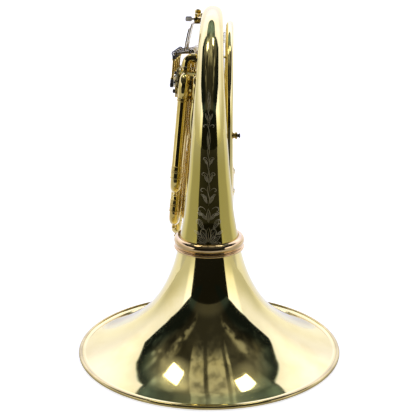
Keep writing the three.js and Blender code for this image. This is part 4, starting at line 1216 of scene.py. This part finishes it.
# Valve, start and end of the hub and middle of the touchpiece along the row, share of full length
lever_plans = [
    ("thumb", 0, 7.56, 27.006, 16, 0.86),
    ("first", 1, 49.014, 70.014, 63, 1),
    ("second", 2, 77.49, 97.482, 84, 1),
    ("third", 3, 98.28, 139.986, 105, 1),
]
blade_half = [(3, 0), (3.2, 8), (7.4, 12), (9, 19), (8.6, 28), (6, 33), (2.4, 34.7)]


def lever(valve, start, end, blade, share):
    """One lever about its own hinge, which lies along the row."""
    tube = [(0, hinge_rod_radius + 0.3), (0, lever_hub), (1.6, lever_hub), (2.0, lever_hub - 0.4)]
    shells = [turned(rearward * start, rearward, eased(both_ends(tube, end - start), 0.25, 2), 40)]
    arm_y = valve * valve_pitch + arm_offset
    half = math.radians(lever_turn / 2)
    tip = vector(-lever_arm * math.cos(half), arm_y, -lever_arm * math.sin(half))
    root = rearward * arm_y
    root = root + unit(tip - root) * 2.2
    reach = np.linalg.norm(tip - root)
    arm = [(0, 0), (0, 1.9), (reach * 0.5, 1.45), (reach - 2.4, 1.4), (reach - 1.4, 1.9)]
    arm += [(reach + 1.2, 1.8), (reach + 1.9, 0.9), (reach + 1.9, 0)]
    shells.append(turned(root, tip - root, eased(arm, 0.5), 24))
    stud = [(0, 0), (0, 1.7), (arm_bar + 1.4, 1.7), (arm_bar + 1.6, stud_radius)]
    stud += [(arm_bar + stud_length, stud_radius), (arm_bar + stud_length, 0)]
    shells.append(turned(tip + rearward * arm_bar, -rearward, eased(stud, 0.3), 24))
    edge = smooth_line([vector(out, up * share) for out, up in blade_half], 5)
    outline = [(out, up) for out, up in edge] + [(-out, up) for out, up in reversed(edge)]
    lean = math.radians(blade_lean)
    up_way = (math.sin(lean), 0, math.cos(lean))
    turn = columns(rearward, up_way, np.cross(rearward, up_way))
    foot = vector(-blade_offset, blade, -arm_bar)
    shells.append(plate_of(outline, -blade_thickness / 2, blade_thickness / 2, (turn, foot), 0.5))
    neck = [(-3, 0.4 - blade_offset), (-3, -1), (3, -1), (3, 0.4 - blade_offset)]
    flat = columns(rearward, valve_axis, -upward)
    shells.append(plate_of(neck, -neck_half, neck_half, (flat, rearward * blade), 0.4))
    return [(spots + vector(hinge_x, 0, hinge_z), faces) for spots, faces in shells]


lever_metal = polished_metal("worn_lever", (0.60, 0.52, 0.36), (0.34, 0.27, 0.16), 0.12, 0.16)
for title, valve, *plan in lever_plans:
    body = f"{title}_lever"
    shown(f"{title}_touch", in_row(lever(valve, *plan)), lever_metal, body, body)

# Ball links: a black moulded socket at each end of a brass rod with lock nuts, from a lever's
# stud down to its stop arm's pin. The lower socket is slotted, so that the pin can swing in it.
pin_slack = 0.45
stud_slack = 0.6
eye_wall = 1.5
rod_radius = 1.5
thread_start = 0.9
thread_pitch = 0.8
nut_radius = 2.4
nut_height = 1.8
pin_rest = pin_reach * math.cos(math.radians(rest_degrees))
link_y = (pin_reach + pin_rest) / 2
pin_travel = (pin_reach - pin_rest) / 2
link_top = hinge_z - lever_arm * math.sin(math.radians(lever_turn / 2))
link_low = pin_reach * math.sin(math.radians(rest_degrees))


def rounded_slot(radius, half, steps=12):
    """An outline of a slot with round ends, as (along the row, up)."""
    right = rounded((half, 0), radius, np.linspace(-1.5708, 1.5708, steps))
    return right + [(-x, -z) for x, z in right]


def slotted_eye():
    """A flat eye round a slot: two walls and two faces, rounded at the outer edge."""
    outer, inner = pin_radius + pin_slack + eye_wall, pin_radius + pin_slack
    half = eye_thickness / 2
    loops = [(inner, -half), (outer - 0.7, -half), (outer, 0.7 - half), (outer, half - 0.7)]
    loops += [(outer - 0.7, half), (inner, half)]
    rings = [
        [vector(link_x + x, link_y + y, link_low + z) for y, z in rounded_slot(radius, pin_travel)]
        for radius, x in loops
    ]
    return skinned(rings)


def link_sockets():
    hole = stud_radius + stud_slack
    outer = hole + eye_wall
    half = eye_thickness / 2
    ball = [(-half, hole), (-half, outer - 1.3), (-half / 2, outer - 0.35), (0, outer)]
    ball += [(half / 2, outer - 0.35), (half, outer - 1.3), (half, hole)]
    shells = [turned(vector(link_x, link_y, link_top), rearward, eased(ball, 0.5), 40), slotted_eye()]
    collar = eased([(0, 0), (0, 2.3), (4.2, 1.9), (4.2, 0)], 0.3)
    low_foot = link_low + pin_radius + pin_slack + eye_wall - 0.8
    high_foot = link_top - outer + 0.8
    for foot, way in ((low_foot, upward), (high_foot, -upward)):
        shells.append(turned(vector(link_x, link_y, foot), way, collar, 24))
    return shells


def link_rod():
    low = link_low + pin_radius + pin_slack + eye_wall + 2.6
    high = link_top - stud_radius - stud_slack - eye_wall - 2.6
    reach = high - low
    threads = int((reach - 2 * thread_start) / thread_pitch)
    rod = [(0, 0), (0, rod_radius), (thread_start, rod_radius)]
    for turn in range(threads):
        start = thread_start + turn * thread_pitch
        rod += [(start + 0.2, rod_radius), (start + 0.45, rod_radius - 0.25), (start + 0.7, rod_radius)]
    rod += [(reach, rod_radius), (reach, 0)]
    shells = [turned(vector(link_x, link_y, low), upward, rod, 20)]
    for z in (low + 0.2, high - 2.0):
        shells.append(turned(vector(link_x, link_y, z), upward, plain(nut_radius, nut_height), 6))
    return shells


for title, valve, *_ in lever_plans:
    body = f"{title}_link"
    shown(f"{title}_sockets", in_row(link_sockets(), valve), black_plastic, body, body)
    shown(f"{title}_link_rod", in_row(link_rod(), valve), slide_brass, None, body)

# Lever bracket: a flat brass bar soldered to two casings, with three uprights that carry the
# steel hinge rod. The rod's ends are rounded.
rod_ends = (6.804, 147)
bracket_ends = (28.98, 145.992)
bracket_half = 4
bracket_low = 20
bracket_thickness = 2.4
foot_half = 3
upright_half = 1.5
upright_width = 3.4
uprights = (30.492, 73.71, 144.06)
level_turn = np.eye(3)
upright_turn = columns(valve_axis, upward, -rearward)


def lever_bracket():
    middle = valve_axis * hinge_x
    bars = [(*bracket_ends, bracket_low, bracket_low + bracket_thickness, 0.5)]
    for index in (1, 3):
        y = index * valve_pitch
        bars.append((y - foot_half, y + foot_half, casing_radius + ring_gap, bracket_low + 1, 0.3))
    shells = []
    for start, end, low, high, ease in bars:
        bar = [(-bracket_half, start), (bracket_half, start), (bracket_half, end), (-bracket_half, end)]
        shells.append(plate_of(bar, low, high, (level_turn, middle), ease))
    for y in uprights:
        top = rounded((0, hinge_z), upright_width, np.linspace(0, math.pi, 15))
        upright = [(bracket_half - 0.2, bracket_low + 1), *top, (0.2 - bracket_half, bracket_low + 1)]
        shells.append(plate_of(upright, -y - upright_half, upright_half - y, (upright_turn, middle)))
    return shells


shown("lever_bracket_bar", in_row(lever_bracket()), old_brass, "lever_bracket")
reach = rod_ends[1] - rod_ends[0]
pin_outline = eased(plain(hinge_rod_radius - 0.05, reach), 0.4)
hinge_rod = turned(vector(hinge_x, rod_ends[0], hinge_z), rearward, pin_outline, 24)
shown("lever_hinge_pin", in_row([hinge_rod]), bare_steel, "lever_hinge_rod")

# Water key: a small turned barrel on the leadpipe with a black button that is pressed in to let
# the water out.
key_z = 257
key_length = 5
key_radius = 4
key_bore = 2.3
key_floor = 1.2
button_radius = 1.9
button_head = 2.7
button_travel = 1.5
key_pipe_radius = 5.6
barrel = [(-1.2, key_bore), (-1.2, key_radius - 0.4), (0.8, key_radius - 0.4), (1.2, key_radius - 1.1)]
barrel += [(2.2, key_radius - 1.1), (2.6, key_radius), (key_length, key_radius), (key_length, key_bore)]
key_place = vector(lead_x + key_pipe_radius, lead_corner[1], key_z)
barrel_shell = turned(key_place, valve_axis, eased(barrel, 0.25), 40)
shown("water_key_body", [barrel_shell], slide_brass, "water_key_barrel")
button_start = key_floor + button_travel + ring_gap
button_seat = key_length + button_travel + ring_gap
button = [(button_start, 0), (button_start, button_radius), (button_seat, button_radius)]
button += [(button_seat, button_head), (button_seat + 1.0, button_head)]
button += [(button_seat + 1.6, 1.5), (button_seat + 1.6, 0)]
button_shell = turned(key_place, valve_axis, eased(button, 0.3), 32)
key_node = "water_key_button"
shown("water_key_push", [button_shell], black_plastic, key_node, key_node)

# Little-finger hook: a saddle with two posts soldered on the tail, the flat brass hook under it,
# and the nickel thumbscrew that sets the hook.
saddle_low = vector(-25, 186.12, 361.952)
saddle_high = vector(-9, 204.12, 367.452)
post_tops = [vector(-21.96, 190.08, 372.2), vector(-15.5, 199.08, 371.4)]
hook_strip = 1.8
hook_half = 4
hook_x = -21
hook_run = 28
hook_radius = 6.4
hook_degrees = 160


def hook_saddle():
    (left, near, _), (right, far, _) = saddle_low, saddle_high
    corners = [(left, near), (right - 2.5, near), (right, near + 4), (right, far - 4)]
    corners += [(right - 2.5, far), (left, far)]
    shells = [plate_of(corners, saddle_low[2], saddle_high[2], (level_turn, origin), 0.7)]
    for top in post_tops:
        reach = top[2] - saddle_high[2] + 1
        post = [(0, 0), (0, 2.7), (1.5, 2.7), (1.8, 1.6), (reach - 2.6, 1.6), (reach - 2.2, 2.4)]
        post += [(reach - 0.6, 2.4), (reach, 1.5), (reach, 0)]
        foot = vector(top[0], top[1], saddle_high[2] - 1)
        shells.append(turned(foot, upward, eased(post, 0.3), 28))
    return shells


shown("hook_saddle_block", hook_saddle(), slide_brass, "hook_saddle")
hook_start = vector(hook_x, saddle_low[1], saddle_low[2] - ring_gap - hook_strip / 2)
hook_bend = hook_start + rearward * hook_run
hook_arc = arc(hook_bend, rearward, hook_radius, hook_degrees, valve_axis, 24)
hook_line = Line([hook_start, hook_bend, *hook_arc])


def strip_along(line, half, thickness, steps=48):
    """A flat strip bent along a line, with rounded edges and a rounded far end."""
    rings = []
    edge = [(math.cos(a), math.sin(a)) for a in np.linspace(0, 2 * math.pi, 16, endpoint=False)]
    for along in np.linspace(0, line.length, steps):
        point, head, side, other = line.at(along)
        if abs(side[0]) < abs(other[0]):
            side, other = other, side
        left = line.length - along
        width = half * math.sqrt(max(0.05, 1 - max(0, 1 - left / half) ** 2))
        wide = [np.sign(c) * (width - thickness / 2) + c * thickness / 2 for c, _ in edge]
        rings.append([point + side * w + other * s * thickness / 2 for w, (_, s) in zip(wide, edge)])
    spots, faces = skinned(rings)
    count = len(edge)
    faces = faces[: (steps - 1) * count]
    return spots, [*faces, list(range(count)), list(range((steps - 1) * count, steps * count))]


hook = strip_along(hook_line, hook_half, hook_strip)
shown("finger_hook_strip", [hook], slide_brass, "finger_hook")
screw_foot = (saddle_low + saddle_high) / 2
screw_foot[0] = saddle_low[0] - ring_gap
screw = [(0, 0), (0, 1.5), (2.75, 1.5), (2.75, 3.0), (3.2, 3.2, 0.35), (9.6, 3.2, 0.35)]
screw += [(10.1, 3.0), (11, 2.2), (11, 0)]
screw_shell = turned(screw_foot, -valve_axis, screw, 56)
satin_nickel = polished_metal("satin_nickel", (0.95, 0.93, 0.88), (0.84, 0.80, 0.72), 0.45, 0.1)
shown("hook_thumbscrew", [screw_shell], satin_nickel, "hook_screw")

# Stays: short brass rods with flanged ends, soldered between the tubes to hold the coil stiff.
lead_stay_degrees = 50
coil_stay_y = 122
row_stay_degrees = 148


def stay(start, end, start_skin, end_skin):
    """A turned stay between two middle lines, flanged where it meets each tube's skin."""
    way = end - start
    foot = start + unit(way) * start_skin
    reach = np.linalg.norm(way) - start_skin - end_skin
    outline = [(0, 0), (0, 1.85), (0.8, 1.75), (1.6, 1.2), (reach / 2 - 1, 1.2), (reach / 2 - 0.6, 1.85)]
    return turned(foot, way, eased(both_ends(outline, reach), 0.25, 2), 28)


lead_stay = stay(on_coil(lead_stay_degrees), on_lead(lead_stay_degrees), 15.4, 5.6)
shown("leadpipe_brace", [lead_stay], slide_brass, "leadpipe_stay")
coil_stay_start = vector(0, coil_stay_y, coil_height - coil_radius)
coil_stay = stay(coil_stay_start, vector(lead_x, coil_stay_y, main_low_z), 9.0, 6.6)
shown("coil_brace", [coil_stay], slide_brass, "coil_stay")
last_casing = (len(valve_names) - 1) * valve_pitch
row_stay_start = from_row(b_flat_level, last_casing, passage_height)
row_stay = stay(row_stay_start, on_coil(row_stay_degrees), 17.5, 12)
shown("valve_row_brace", [row_stay], slide_brass, "valve_row_stay")
